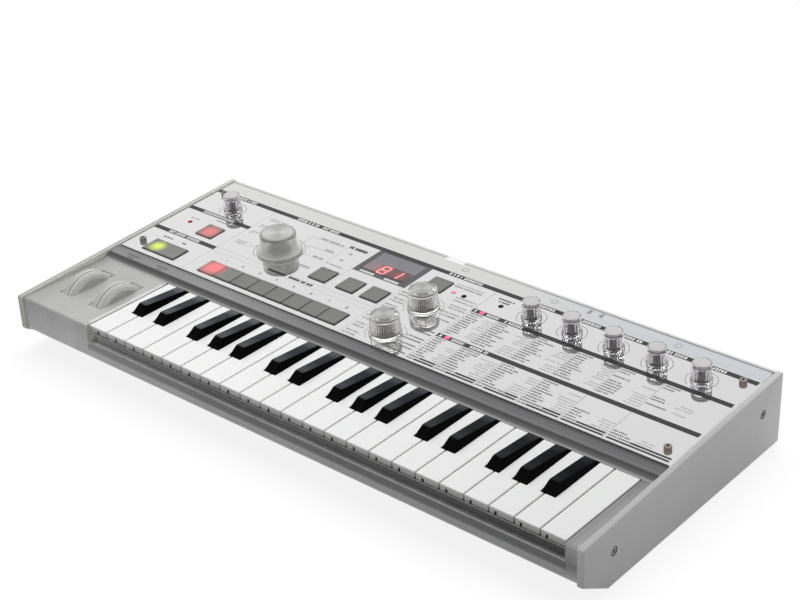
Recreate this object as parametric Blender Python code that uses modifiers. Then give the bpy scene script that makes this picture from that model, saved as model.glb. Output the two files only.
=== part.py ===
# Mini synthesizer with three octaves of small keys, built as separate parts.
# Metres. X runs to the right, Y to the rear, Z up from the surface that the feet stand on.
import math
import bmesh
import bpy
from mathutils import Euler, Matrix, Vector

mm = 0.001
gap = 0.3 * mm              # rest clearance between neighbouring pieces

# Overall sizes
width = 524 * mm
depth = 232 * mm
foot_drop = 1.5 * mm        # the feet reach this far below the cheeks
foot_radius = 7 * mm
foot_inset_x = 37 * mm
foot_front_y = 46 * mm
foot_rear_inset = 18 * mm
overlap = 1 * mm            # how far joined pieces and cutters run past a face
step = 0.5 * mm             # small offset that keeps two faces out of one plane

# Side cheeks, heights taken from their own bottom edge
cheek_thick = 4.6 * mm
cheek_front_height = 44.2 * mm
cheek_rise = 11.1 * mm      # rear edge above the front edge
cheek_slope_depth = 27.4 * mm
cheek_slope_height = 16.7 * mm
cheek_corner = 2 * mm
cheek_screw_radius = 3.3 * mm
cheek_screw_inset = 0.4 * mm
cheek_screw_front = 32.4 * mm
cheek_screw_rear_inset = 25 * mm
cheek_screw_drop = 20 * mm  # below the cheek's top line
hex_socket = 1.45 * mm
hex_socket_depth = 2 * mm

# Case shells between the cheeks
case_setback = 1.8 * mm     # case front behind the cheek fronts
case_rear_setback = 0.6 * mm
case_lift = 0.8 * mm        # case underside above the cheek bottoms
case_wall = 2.3 * mm
case_corner = 2.2 * mm
front_roll = 4.5 * mm       # rounding where the front turns under
slope_offset = 1.2 * mm     # case underside above the cheek's slanted edge
deck_drop = 1 * mm          # deck below the cheek's front corner
deck_thick = 2.2 * mm
split_drop = 12.8 * mm      # parting line below the deck, at the front
split_rise = 3.5 * mm       # and how much higher it is at the rear
ledge_thick = 2.2 * mm

# Lip behind the keys
lip_start_y = 81.5 * mm
lip_foot_depth = 2.8 * mm
lip_foot_rise = 0.75 * mm
lip_wall_depth = 4.7 * mm
lip_wall_rise = 2.35 * mm
lip_top_depth = 11.5 * mm
lip_drop = 0.5 * mm         # lip top below the control panel's face

# Control panel sheet
panel_rear_inset = 3 * mm
panel_side_gap = 1.1 * mm
panel_thick = 1.5 * mm
panel_drop = 1 * mm         # panel face below the cheek top line
seat_thick = 2.2 * mm
panel_screw_side = 10.2 * mm
panel_screw_front = 14.7 * mm
panel_screw_rear = 22.3 * mm
panel_screw_radius = 2.5 * mm
panel_screw_height = 2.9 * mm

# Keys
white_count = 22
keys_left_inset = 78.3 * mm   # from the outside of the left cheek
keys_right_inset = 15.2 * mm
key_gap = 0.9 * mm
key_front_y = 4.2 * mm
key_rise = 0.2 * mm         # white key tops above the deck
key_deep = 5.3 * mm
key_plate = 2.5 * mm
key_lip_thick = 1.6 * mm
key_groove_depth = 3.8 * mm
key_edge = 0.7 * mm
key_rear_slope = 2 * mm
pivot_inset = 1 * mm        # hinge line in front of the panel's edge
pivot_drop = 5.4 * mm       # hinge line below the white key tops
pivot_radius = 2.6 * mm
pivot_segments = 10
black_width = 10.5 * mm
black_top_share = 0.71      # flat top as a share of the foot's width
black_front_y = 36.3 * mm
black_foot_depth = 1.4 * mm
black_foot_height = 1 * mm
black_nose_depth = 6.4 * mm
black_front_rise = 6.2 * mm
black_tail_rise = 2.4 * mm
black_tail_slope = 2.6 * mm
black_arm_drop = 0.3 * mm
black_side_gap = 0.6 * mm
black_front_gap = 1.2 * mm   # white key notch in front of a black key
opening_side_gap = 0.7 * mm
black_shift = {0: -2.2 * mm, 1: 1.2 * mm, 3: -2.4 * mm, 4: -0.1 * mm, 5: 2.3 * mm}

# Front rail under the keys
rail_y = 6.6 * mm
rail_thick = 2 * mm
rail_drop = 7.8 * mm        # rail top below the white key tops

# Key frame
frame_deck_drop = 4.6 * mm  # frame deck below the hinge line
frame_deck_thick = 2.4 * mm
frame_leg_thick = 2.4 * mm
frame_front_y = 11.5 * mm
frame_leg_y = 34 * mm
frame_fence_rise = 1.5 * mm
frame_fence_thick = 1.8 * mm
frame_fence_gap = 0.5 * mm
frame_rail_depth = 5.6 * mm

# Wheels
wheel_width = 12.5 * mm
wheel_axis_y = 46.5 * mm
wheel_axis_drop = 15.2 * mm   # below the deck
wheel_floor_gap = 0.4 * mm
wheel_bevel = 1.6 * mm
wheel_groove = 0.7 * mm
wheel_inset = 27.5 * mm     # pitch wheel's middle from the outside of the cheek
wheel_pitch = 33 * mm
wheel_slot_gap = 0.7 * mm
wheel_slot_end = 2.8 * mm
axle_radius = 2.6 * mm
axle_gap = 0.1 * mm
post_side_gap = 0.8 * mm
post_thick = 2.4 * mm
post_half_depth = 6.5 * mm
post_rise = 6 * mm          # above the wheel axis

# Knobs: foot radius, top radius, height over the panel
knob_lift = 0.5 * mm
knob_small = {"foot": 7.75 * mm, "top": 7.2 * mm, "height": 14 * mm, "steps": 24}
knob_medium = {"foot": 12.4 * mm, "top": 11.2 * mm, "height": 15.8 * mm, "steps": 28}
knob_large = {"foot": 19 * mm, "top": 13.8 * mm, "height": 16.2 * mm, "steps": 36}
knob_shoulder = 1.5 * mm
knob_edge = 1 * mm
skirt_height = 4.2 * mm
skirt_edge = 1.2 * mm
skirt_flare = 3 * mm
skirt_waist = 0.6 * mm
shaft_radius = 3 * mm
shaft_gap = 0.3 * mm
shaft_rise = 8 * mm
shaft_hole_gap = 0.7 * mm

# Places on the panel: share of its half width across, share of its depth from the front
volume_knob_across = -0.8652
volume_knob_along = 0.7121
program_knob_across = -0.5566
program_knob_along = 0.4981
edit_select_across = 0.0219
edit_select_upper_along = 0.4786
edit_select_lower_along = 0.1486
edit_row_right_across = 0.8652
edit_row_pitch_across = 0.13828
edit_row_along = 0.7276
function_left_across = -0.341
function_middle_across = -0.2316
function_right_across = -0.1379
function_row_along = 0.4257
arpeggio_across = -0.8227
arpeggio_along = 0.428
timbre_across = -0.0203
timbre_along = 0.716
program_row_across = -0.4035
program_row_along = 0.1105
octave_across = -0.8594
octave_along = 0.1128
window_across = -0.1938
window_along = 0.7105

# Buttons
button_side = 17.2 * mm
button_rise = 1.2 * mm
button_gap = 0.35 * mm
button_travel = 1 * mm
flange_wide = 1.1 * mm
flange_thick = 1.2 * mm
stem_side = 4 * mm
stem_drop = 8.2 * mm
program_pitch = 17.94 * mm
program_count = 8
octave_width = 35.5 * mm
octave_gap = 0.5 * mm
octave_axis_drop = 6 * mm
octave_ridge = 1.5 * mm

# Display window and main board
window_width = 49 * mm
window_depth = 28.4 * mm
board_drop = 16 * mm
board_thick = 1.6 * mm
board_side_inset = 6 * mm   # from the panel's side edge
board_front_inset = 5.5 * mm
board_rear_inset = 15 * mm
pot_side = 10 * mm
pot_top_drop = 5.2 * mm
bushing_radius = 4.3 * mm
switch_side = 6 * mm

# Rear sockets on the main board, placed as shares of the panel's half width
socket_drop = 9.4 * mm      # below the parting line at the rear
socket_body_depth = 9 * mm
jack_places = {"phones": -0.203, "input": -0.1055, "line_left": 0.1016, "line_right": 0.1992,
               "pedal": 0.4688}
din_places = {"out": -0.5, "in": -0.3828}
inlet_place = -0.8047
power_place = -0.7031
jack_nozzle = 5.2 * mm
jack_bore = 3.2 * mm
socket_bore_depth = 3.5 * mm
din_radius = 7.6 * mm
din_bore = 6.2 * mm
power_half = 5 * mm
socket_hole_gap = 0.3 * mm
nozzle_proud = 0.3 * mm

# Screw bosses of the two case halves, as shares of the panel's half width
boss_radius = 3.2 * mm
boss_rear_inset = 7.5 * mm
boss_places = {"left": -0.0066, "middle": 0.3168, "right": 0.7258}

# Worked out from the sizes above
front = -depth / 2
base = foot_drop
slope = cheek_rise / depth
tilt = math.atan(slope)
case_half = width / 2 - cheek_thick - gap
case_floor = case_lift + case_wall
shell_front = front + case_setback
shell_rear = -front - case_rear_setback
deck_height = cheek_front_height - deck_drop
split_front = deck_height - split_drop
split_rear = split_front + split_rise
lip_edge_y = lip_start_y + lip_foot_depth
lip_edge_height = deck_height + lip_foot_rise
lip_knee_y = lip_edge_y + lip_wall_depth
lip_knee_height = lip_edge_height + lip_wall_rise
panel_front_y = lip_knee_y + lip_top_depth
panel_rear_y = depth - panel_rear_inset
panel_half_width = case_half - panel_side_gap
seat_drop = panel_thick + gap
plate_bottom = seat_drop + seat_thick
white_left = -width / 2 + keys_left_inset
white_right = width / 2 - keys_right_inset
white_pitch = (white_right - white_left) / white_count
opening_left = white_left - opening_side_gap
opening_right = white_right + opening_side_gap
key_top = deck_height + key_rise
pivot_y = panel_front_y - pivot_inset
pivot_height = key_top - pivot_drop
pivot = Vector((0, front + pivot_y, base + pivot_height))
rail_top = key_top - rail_drop
wheel_axis_height = deck_height - wheel_axis_drop
wheel_radius = wheel_axis_height - case_floor - wheel_floor_gap
board_front_y = panel_front_y + board_front_inset
board_rear_y = panel_rear_y - board_rear_inset
socket_height = split_rear - socket_drop


def panel_height(y):
    # Height of the panel's face at a distance y behind the front, from the floor
    return base + cheek_front_height - panel_drop + slope * y


def panel_place(across, along):
    # X and distance behind the front of a place given in shares of the panel
    return across * panel_half_width, panel_front_y + along * (panel_rear_y - panel_front_y)


def on_panel(x, y, rise=0.0):
    # Point over panel place x, y, at a rise along the panel's normal
    normal = Vector((0, -math.sin(tilt), math.cos(tilt)))
    return Vector((x, front + y, panel_height(y))) + normal * rise


def clear_scene():
    for item in list(bpy.data.objects):
        bpy.data.objects.remove(item, do_unlink=True)
    group = bpy.data.collections.new("mini_synthesizer")
    bpy.context.scene.collection.children.link(group)
    return group


group = clear_scene()


def make_material(name, color, roughness, metallic=0.0, alpha=1.0):
    material = bpy.data.materials.new(name)
    material.use_nodes = True
    shader = material.node_tree.nodes["Principled BSDF"]
    shader.inputs["Base Color"].default_value = (*color, 1)
    shader.inputs["Roughness"].default_value = roughness
    shader.inputs["Metallic"].default_value = metallic
    shader.inputs["Alpha"].default_value = alpha
    return material


finishes = {
    "silver_paint": ((0.62, 0.62, 0.62), 0.35, 0.4),
    "smoky_clear": ((0.42, 0.43, 0.41), 0.3, 0.0),
    "white_gloss_print": ((0.8, 0.8, 0.8), 0.08, 0.0),
    "ivory_white": ((0.9, 0.9, 0.89), 0.25, 0.0),
    "gloss_black": ((0.02, 0.02, 0.022), 0.12, 0.0),
    "clear_knob": ((0.75, 0.75, 0.75), 0.1, 0.0),
    "smoky_button": ((0.27, 0.27, 0.25), 0.3, 0.0),
    "dark_frame": ((0.09, 0.09, 0.09), 0.6, 0.0),
    "green_board": ((0.05, 0.12, 0.07), 0.5, 0.0),
}
materials = {name: make_material(name, *values) for name, values in finishes.items()}


def add_object(name, mesh):
    item = bpy.data.objects.new(name, mesh)
    group.objects.link(item)
    return item


def bake_place(item):
    item.data.transform(item.matrix_basis)
    item.matrix_basis = Matrix.Identity(4)
    return item


def box(name, low, high):
    # Box between two corners
    low, high = Vector(low), Vector(high)
    shape = bmesh.new()
    bmesh.ops.create_cube(shape, size=1)
    bmesh.ops.scale(shape, vec=high - low, verts=shape.verts)
    bmesh.ops.translate(shape, vec=(low + high) / 2, verts=shape.verts)
    mesh = bpy.data.meshes.new(name)
    shape.to_mesh(mesh)
    shape.free()
    return add_object(name, mesh)


def panel_box(name, x, y, size_x, size_y, low, high):
    # Box square to the panel, between two rises over its face
    item = box(name, (-size_x / 2, -size_y / 2, low), (size_x / 2, size_y / 2, high))
    item.location = on_panel(x, y)
    item.rotation_euler = (tilt, 0, 0)
    return bake_place(item)


def cylinder(name, radius, length, sides, place, turn=(0, 0, 0)):
    # Cylinder centred at a place, along Z before it is turned
    shape = bmesh.new()
    bmesh.ops.create_cone(shape, cap_ends=True, segments=sides, radius1=radius,
                          radius2=radius, depth=length)
    mesh = bpy.data.meshes.new(name)
    shape.to_mesh(mesh)
    shape.free()
    item = add_object(name, mesh)
    item.location = place
    item.rotation_euler = turn
    return bake_place(item)


def panel_cylinder(name, x, y, radius, low, high, sides=20):
    return cylinder(name, radius, high - low, sides, on_panel(x, y, (low + high) / 2), (tilt, 0, 0))


def flat_outline(name, points, thickness):
    # Closed flat curve in X and Y, given half its thickness each way
    curve = bpy.data.curves.new(name, "CURVE")
    curve.dimensions = "2D"
    curve.fill_mode = "BOTH"
    curve.extrude = thickness / 2
    spline = curve.splines.new("POLY")
    spline.points.add(len(points) - 1)
    for point, (x, y) in zip(spline.points, points):
        point.co = (x, y, 0, 1)
    spline.use_cyclic_u = True
    holder = bpy.data.objects.new(name + "_curve", curve)
    group.objects.link(holder)
    bpy.context.view_layer.update()
    mesh = bpy.data.meshes.new_from_object(holder.evaluated_get(bpy.context.evaluated_depsgraph_get()))
    bpy.data.objects.remove(holder, do_unlink=True)
    clean = bmesh.new()
    clean.from_mesh(mesh)
    bmesh.ops.remove_doubles(clean, verts=clean.verts, dist=0.01 * mm)
    bmesh.ops.dissolve_limit(clean, angle_limit=0.01, verts=clean.verts, edges=clean.edges)
    bmesh.ops.recalc_face_normals(clean, faces=clean.faces)
    clean.to_mesh(mesh)
    clean.free()
    return add_object(name, mesh)


def side_prism(name, outline, left, right):
    # Outline of (distance behind the front, height over the cheek bottoms), run along X
    points = [(front + y, base + z) for y, z in outline]
    item = flat_outline(name, points, right - left)
    turn = Matrix(((0, 0, 1, (left + right) / 2), (1, 0, 0, 0), (0, 1, 0, 0), (0, 0, 0, 1)))
    item.data.transform(turn)
    return item


def plan_prism(name, outline, low, high):
    # Outline of (X, distance behind the front), run upwards
    points = [(x, front + y) for x, y in outline]
    item = flat_outline(name, points, high - low)
    item.data.transform(Matrix.Translation((0, 0, base + (low + high) / 2)))
    return item


def boolean(item, other, operation):
    # Join, cut or intersect, then drop the tool
    modifier = item.modifiers.new(operation.lower(), "BOOLEAN")
    modifier.operation = operation
    modifier.solver = "EXACT"
    modifier.object = other
    bpy.context.view_layer.objects.active = item
    bpy.ops.object.modifier_apply(modifier=modifier.name)
    bpy.data.objects.remove(other, do_unlink=True)
    return item


def cut(item, other):
    return boolean(item, other, "DIFFERENCE")


def join(item, other):
    return boolean(item, other, "UNION")


def rounded(points, radius, corners, steps=4):
    # Outline with the numbered corners turned into arcs of a radius
    result = []
    count = len(points)
    for index, point in enumerate(points):
        if index not in corners:
            result.append(point)
            continue
        here = Vector(point)
        before = (Vector(points[index - 1]) - here).normalized()
        after = (Vector(points[(index + 1) % count]) - here).normalized()
        half = before.angle(after) / 2
        reach = radius / math.tan(half)
        centre = here + (before + after).normalized() * (radius / math.sin(half))
        start = here + before * reach - centre
        end = here + after * reach - centre
        sweep = start.angle_signed(end)
        for step in range(steps + 1):
            turned = start.copy()
            turned.rotate(Matrix.Rotation(-sweep * step / steps, 2))
            result.append(tuple(centre + turned))
    return result


def lathe(name, profile, steps, place, turn):
    # Profile of (radius, height) turned about Z with a Screw modifier
    mesh = bpy.data.meshes.new(name)
    edges = [(index, index + 1) for index in range(len(profile) - 1)]
    mesh.from_pydata([(radius, 0, height) for radius, height in profile], edges, [])
    item = add_object(name, mesh)
    screw = item.modifiers.new("screw", "SCREW")
    screw.steps = steps
    screw.render_steps = steps
    screw.use_merge_vertices = True
    screw.merge_threshold = 0.02 * mm
    screw.use_normal_calculate = True
    item.location = place
    item.rotation_euler = turn
    bpy.context.view_layer.objects.active = item
    bpy.ops.object.modifier_apply(modifier=screw.name)
    clean = bmesh.new()
    clean.from_mesh(item.data)
    bmesh.ops.remove_doubles(clean, verts=clean.verts, dist=0.01 * mm)
    bmesh.ops.recalc_face_normals(clean, faces=clean.faces)
    clean.to_mesh(item.data)
    clean.free()
    return item


def finish(item, material, origin=None, turn=(0, 0, 0)):
    # Material, and the origin moved to a place and turn without moving the mesh
    item.data.materials.clear()
    item.data.materials.append(materials[material])
    if origin is not None:
        place = Matrix.LocRotScale(Vector(origin), Euler(turn), None)
        item.data.transform(place.inverted() @ item.matrix_basis)
        item.matrix_basis = place
    return item


def knob_list():
    # Name, panel place and size of each knob
    places = [("volume_knob", volume_knob_across, volume_knob_along, knob_small),
              ("program_select_knob", program_knob_across, program_knob_along, knob_large),
              ("edit_select_knob_upper", edit_select_across, edit_select_upper_along, knob_medium),
              ("edit_select_knob_lower", edit_select_across, edit_select_lower_along, knob_medium)]
    for index in range(5):
        across = edit_row_right_across - (4 - index) * edit_row_pitch_across
        places.append((f"edit_knob_{index + 1}", across, edit_row_along, knob_small))
    return [(name, *panel_place(across, along), size) for name, across, along, size in places]


def function_places():
    shares = (function_left_across, function_middle_across, function_right_across)
    return [panel_place(across, function_row_along) for across in shares]


def program_places():
    x, y = panel_place(program_row_across, program_row_along)
    middle = (program_count - 1) / 2
    return [(x + (index - middle) * program_pitch, y) for index in range(program_count)]


def make_cheek(name, side):
    outer = side * width / 2
    inner = side * (width / 2 - cheek_thick)
    corners = [(0, cheek_slope_height), (0, cheek_front_height), (depth, cheek_front_height + cheek_rise),
               (depth, 0), (cheek_slope_depth, 0)]
    outline = rounded(corners, cheek_corner, (0, 1, 2, 3), steps=3)
    cheek = side_prism(name, outline, min(outer, inner), max(outer, inner))
    turn = (0, math.pi / 2, 0)
    for y in (cheek_screw_front, depth - cheek_screw_rear_inset):
        z = cheek_front_height + slope * y - cheek_screw_drop
        place = Vector((outer, front + y, base + z))
        cut(cheek, cylinder("sink", cheek_screw_radius, 2 * cheek_screw_inset, 20, place, turn))
        cut(cheek, cylinder("socket", hex_socket, 2 * hex_socket_depth, 6, place, turn))
    return finish(cheek, "silver_paint")


def top_outer_outline():
    seat_y = panel_front_y - gap
    rim_y = panel_rear_y + gap
    rear_y = depth - case_rear_setback
    seat = cheek_front_height - panel_drop - seat_drop
    rim = cheek_front_height - panel_drop
    points = [(case_setback, split_front + gap / 2), (case_setback, deck_height),
              (lip_start_y, deck_height), (lip_edge_y, lip_edge_height),
              (lip_knee_y, lip_knee_height),
              (seat_y, rim + slope * seat_y - lip_drop), (seat_y, seat + slope * seat_y),
              (rim_y, seat + slope * rim_y), (rim_y, rim + slope * rim_y),
              (rear_y, rim + slope * rear_y), (rear_y, split_rear + gap / 2)]
    return points


def make_top_case():
    outer = top_outer_outline()
    shell = side_prism("top_case", rounded(outer, case_corner, (1,), steps=4), -case_half, case_half)
    wall, thick = case_wall, deck_thick
    under = cheek_front_height - panel_drop - plate_bottom
    lip_under_y = panel_front_y - gap + wall
    rear_y = depth - case_rear_setback - wall
    inner = [(case_setback + wall, 0), (case_setback + wall, deck_height - thick),
             (lip_start_y + 0.4 * thick, deck_height - thick),
             (lip_knee_y + 0.4 * thick, lip_knee_height - thick),
             (lip_under_y, under + slope * lip_under_y),
             (rear_y, under + slope * rear_y), (rear_y, 0)]
    cut(shell, side_prism("inner", inner, -case_half + wall, case_half - wall))
    add_front_rail(shell)
    cut_key_opening(shell)
    cut_wheel_slots(shell)
    cut_panel_holes(shell, -plate_bottom - overlap, overlap, window=True)
    return finish(shell, "smoky_clear")


def cut_wheel_slots(shell):
    # Slot around the chord that each wheel makes with the deck
    half_chord = math.sqrt(wheel_radius ** 2 - wheel_axis_drop ** 2)
    reach_x = wheel_width / 2 + wheel_slot_gap
    reach_y = half_chord + wheel_slot_end
    for x in wheel_centres().values():
        low = (x - reach_x, front + wheel_axis_y - reach_y, base + deck_height - deck_thick - overlap)
        high = (x + reach_x, front + wheel_axis_y + reach_y, base + deck_height + overlap)
        cut(shell, box("slot", low, high))


def wheel_centres():
    near = -width / 2 + wheel_inset
    return {"pitch_wheel": near, "modulation_wheel": near + wheel_pitch}


def add_front_rail(shell):
    # Set-back rail under the keys, with a return wall at each end
    low = split_front + gap / 2
    left, right = opening_left - case_wall, opening_right + case_wall
    join(shell, box("rail", (left, front + rail_y, base + low),
                    (right, front + rail_y + rail_thick, base + rail_top)))
    for x in (left, opening_right):
        join(shell, box("return", (x, shell_front + case_wall / 2, base + low),
                        (x + case_wall, front + rail_y + rail_thick, base + deck_height - step)))


def cut_key_opening(shell):
    rear_y = lip_knee_y + case_wall + 2 * overlap
    cut(shell, box("front_notch", (opening_left, front - overlap, base),
                   (opening_right, front + rail_y, base + lip_edge_height)))
    cut(shell, box("opening", (opening_left, front + rail_y - overlap, base + rail_top),
                   (opening_right, front + rear_y, base + lip_edge_height)))


def cut_panel_holes(item, low, high, window):
    # Holes for knob shafts and buttons, and for the display where it's wanted
    for name, x, y, size in knob_list():
        cut(item, panel_cylinder("hole", x, y, shaft_radius + shaft_hole_gap, low, high, 16))
    for name, x, y, size_x, size_y, clear in button_holes():
        cut(item, panel_box("hole", x, y, size_x + 2 * clear, size_y + 2 * clear, low, high))
    if window:
        place = panel_place(window_across, window_along)
        cut(item, panel_box("hole", *place, window_width + 2 * button_gap,
                            window_depth + 2 * button_gap, low, high))


def button_holes():
    # Name, place, size and clearance of each hole with a button in it
    side, clear = button_side, button_gap
    holes = [("function", x, y, side, side, clear) for x, y in function_places()]
    holes.append(("arpeggio", *panel_place(arpeggio_across, arpeggio_along), side, side, clear))
    holes.append(("timbre", *panel_place(timbre_across, timbre_along), side, side, clear))
    holes.append(("program", *panel_place(program_row_across, program_row_along),
                  program_pitch * program_count, side, clear))
    holes.append(("octave", *panel_place(octave_across, octave_along), octave_width, side, octave_gap))
    return holes


def make_bottom_case():
    rear_y = depth - case_rear_setback
    fall = cheek_slope_height / cheek_slope_depth
    low_front = cheek_slope_height - fall * case_setback + slope_offset
    slope_end = cheek_slope_depth + (slope_offset - case_lift) / fall
    outer = [(case_setback, split_front - gap / 2), (case_setback, low_front),
             (slope_end, case_lift), (rear_y, case_lift), (rear_y, split_rear - gap / 2)]
    case = side_prism("bottom_case", rounded(outer, front_roll, (1,), steps=5), -case_half, case_half)
    inner_front = case_setback + case_wall
    inner_rear = rear_y - case_wall
    inner_slope = slope_end + case_wall * 0.3
    inner = [(inner_front, split_rear * 2), (inner_front, low_front + case_wall),
             (inner_slope, case_floor), (inner_rear, case_floor), (inner_rear, split_rear * 2)]
    cut(case, side_prism("inner", inner, -case_half + case_wall, case_half - case_wall))
    ledge_top = base + split_front - gap / 2
    join(case, box("ledge", (-case_half + overlap, shell_front + overlap, ledge_top - ledge_thick),
                   (case_half - overlap, front + rail_y + rail_thick, ledge_top)))
    trim = box("trim", (-width, -depth, base + split_rear - gap / 2), (width, depth, base + 2 * split_rear))
    cut(case, trim)
    add_bosses(case)
    for side in (-1, 1):
        for y in (foot_front_y, depth - foot_rear_inset):
            foot_top = base + case_lift + overlap
            place = (side * (width / 2 - foot_inset_x), front + y, foot_top / 2)
            join(case, cylinder("foot", foot_radius, foot_top, 20, place))
    cut_socket_holes(case)
    return finish(case, "smoky_clear")


def add_bosses(case):
    # Screw bosses along the rear, up to the plate under the control panel
    y = panel_rear_y - boss_rear_inset
    top = panel_height(y) - plate_bottom - gap
    bottom = base + case_floor - overlap
    for share in boss_places.values():
        place = (share * panel_half_width, front + y, (bottom + top) / 2)
        join(case, cylinder("boss", boss_radius, top - bottom, 14, place))


def round_sockets():
    # X, nozzle radius, bore radius and sides of each round socket
    sockets = [(share * panel_half_width, jack_nozzle, jack_bore, 16) for share in jack_places.values()]
    return sockets + [(share * panel_half_width, din_radius, din_bore, 20) for share in din_places.values()]


def square_sockets():
    return [share * panel_half_width for share in (inlet_place, power_place)]


def cut_socket_holes(case):
    # Rear wall openings for the sockets that stand on the main board
    turn = (math.pi / 2, 0, 0)
    wall = Vector((0, shell_rear - case_wall / 2, base + socket_height))
    for x, radius, bore, sides in round_sockets():
        place = wall + Vector((x, 0, 0))
        cut(case, cylinder("hole", radius + socket_hole_gap, 3 * case_wall, sides, place, turn))
    reach = power_half + socket_hole_gap
    for x in square_sockets():
        half = Vector((reach, 1.5 * case_wall, reach))
        centre = wall + Vector((x, 0, 0))
        cut(case, box("hole", centre - half, centre + half))


def make_control_panel():
    length = (panel_rear_y - panel_front_y) / math.cos(tilt)
    middle = (panel_rear_y + panel_front_y) / 2
    sheet = panel_box("control_panel", 0, middle, 2 * panel_half_width, length, -panel_thick, 0)
    cut_panel_holes(sheet, -3 * panel_thick, 3 * panel_thick, window=False)
    screw_x = panel_half_width - panel_screw_side
    for x in (-screw_x, screw_x):
        for y in (panel_front_y + panel_screw_front, panel_rear_y - panel_screw_rear):
            join(sheet, panel_cylinder("head", x, y, panel_screw_radius, -panel_thick / 2,
                                       panel_screw_height, 18))
            cut(sheet, panel_cylinder("socket", x, y, hex_socket, panel_screw_height - hex_socket_depth,
                                      panel_screw_height + overlap, 6))
    return finish(sheet, "white_gloss_print")


def make_key_frame():
    floor = case_floor + gap
    deck = pivot_height - frame_deck_drop
    under = deck - frame_deck_thick
    rail_low = pivot_height - pivot_radius - gap
    rail_start = pivot_y - frame_rail_depth / 2
    fence_y = pivot_y + pivot_radius + frame_fence_gap
    fence_top = pivot_height + frame_fence_rise
    rear_y = fence_y + frame_fence_thick
    left, right = opening_left + gap, opening_right - gap
    outline = [(frame_front_y, under), (frame_front_y, deck), (rail_start, deck),
               (rail_start, rail_low), (fence_y, rail_low), (fence_y, fence_top),
               (rear_y, fence_top), (rear_y, under)]
    frame = side_prism("key_frame", outline, left, right)
    for leg_y in (frame_leg_y, rear_y - frame_leg_thick):
        join(frame, box("leg", (left, front + leg_y, base + floor),
                        (right, front + leg_y + frame_leg_thick, base + under + overlap)))
    add_wheel_bracket(frame)
    return finish(frame, "dark_frame")


def add_wheel_bracket(frame):
    # Three posts and one axle that carry the two wheels beside the keys
    near, far = wheel_centres().values()
    reach = wheel_width / 2 + post_side_gap
    spans = [(near - reach - post_thick, near - reach), (near + reach, far - reach),
             (far + reach, opening_left + gap + overlap)]
    low_y = front + wheel_axis_y - post_half_depth
    high_y = front + wheel_axis_y + post_half_depth
    post_top = base + wheel_axis_height + post_rise
    for left, right in spans:
        low, high = (left, low_y, base + case_floor + gap), (right, high_y, post_top)
        join(frame, box("post", low, high))
    axle_left = near - reach - post_thick / 2
    axle_right = far + reach + overlap
    place = ((axle_left + axle_right) / 2, front + wheel_axis_y, base + wheel_axis_height)
    join(frame, cylinder("axle", axle_radius, axle_right - axle_left, 20, place, (0, math.pi / 2, 0)))


def make_wheel(name, x):
    half, bevel = wheel_width / 2, wheel_bevel
    bore = axle_radius + axle_gap
    groove = wheel_radius - wheel_groove
    profile = [(bore, -half), (wheel_radius - bevel, -half), (wheel_radius, -half + bevel),
               (wheel_radius, -wheel_groove), (groove, 0), (wheel_radius, wheel_groove),
               (wheel_radius, half - bevel), (wheel_radius - bevel, half), (bore, half), (bore, -half)]
    place = Vector((x, front + wheel_axis_y, base + wheel_axis_height))
    wheel = lathe(name, profile, 44, place, (0, math.pi / 2, 0))
    bake_place(wheel)
    return finish(wheel, "smoky_clear", origin=place)


def make_knob(name, x, y, size):
    foot, top, height = size["foot"], size["top"], size["height"]
    bore = shaft_radius + shaft_gap
    bore_top = shaft_rise + shaft_gap
    profile = [(0, height), (top - knob_shoulder, height), (top, height - knob_shoulder)]
    if size is knob_large:
        profile += [(top + skirt_waist, skirt_height + skirt_flare), (foot - skirt_edge, skirt_height),
                    (foot, skirt_height - skirt_edge)]
    else:
        profile.append((foot, knob_lift + knob_edge))
    profile += [(foot, knob_lift), (bore, knob_lift), (bore, bore_top), (0, bore_top)]
    knob = lathe(name, profile, size["steps"], on_panel(x, y), (tilt, 0, 0))
    return finish(knob, "clear_knob")


def white_edges(index):
    # Left and right sides of a white key, then of its narrow part between the black keys
    left = white_left + index * white_pitch + key_gap / 2
    right = left + white_pitch - key_gap
    degree = index % 7
    narrow_left, narrow_right = left, right
    if degree - 1 in black_shift and index > 0:
        centre = white_left + index * white_pitch + black_shift[degree - 1]
        narrow_left = centre + black_width / 2 + black_side_gap
    if degree in black_shift and index < white_count - 1:
        centre = white_left + (index + 1) * white_pitch + black_shift[degree]
        narrow_right = centre - black_width / 2 - black_side_gap
    return left, right, narrow_left, narrow_right


def arc_points(steps, start, end):
    # Round stretch of a key's hinge barrel, in side view
    turns = [start + (end - start) * step / steps for step in range(steps + 1)]
    return [(pivot_y + pivot_radius * math.cos(turn), pivot_height + pivot_radius * math.sin(turn))
            for turn in turns]


def white_side_outline():
    bottom, top = key_top - key_deep, key_top
    lip_end = key_front_y + key_lip_thick
    groove_end = lip_end + key_groove_depth
    points = [(key_front_y, bottom), (lip_end, bottom), (lip_end, top - key_plate),
              (groove_end, top - key_plate), (groove_end, bottom)]
    points += arc_points(pivot_segments, math.pi, 2 * math.pi)
    points += [(pivot_y + pivot_radius, top - key_plate), (pivot_y - key_rear_slope, top)]
    points += [(key_front_y + key_edge, top), (key_front_y, top - key_edge)]
    return points


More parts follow.
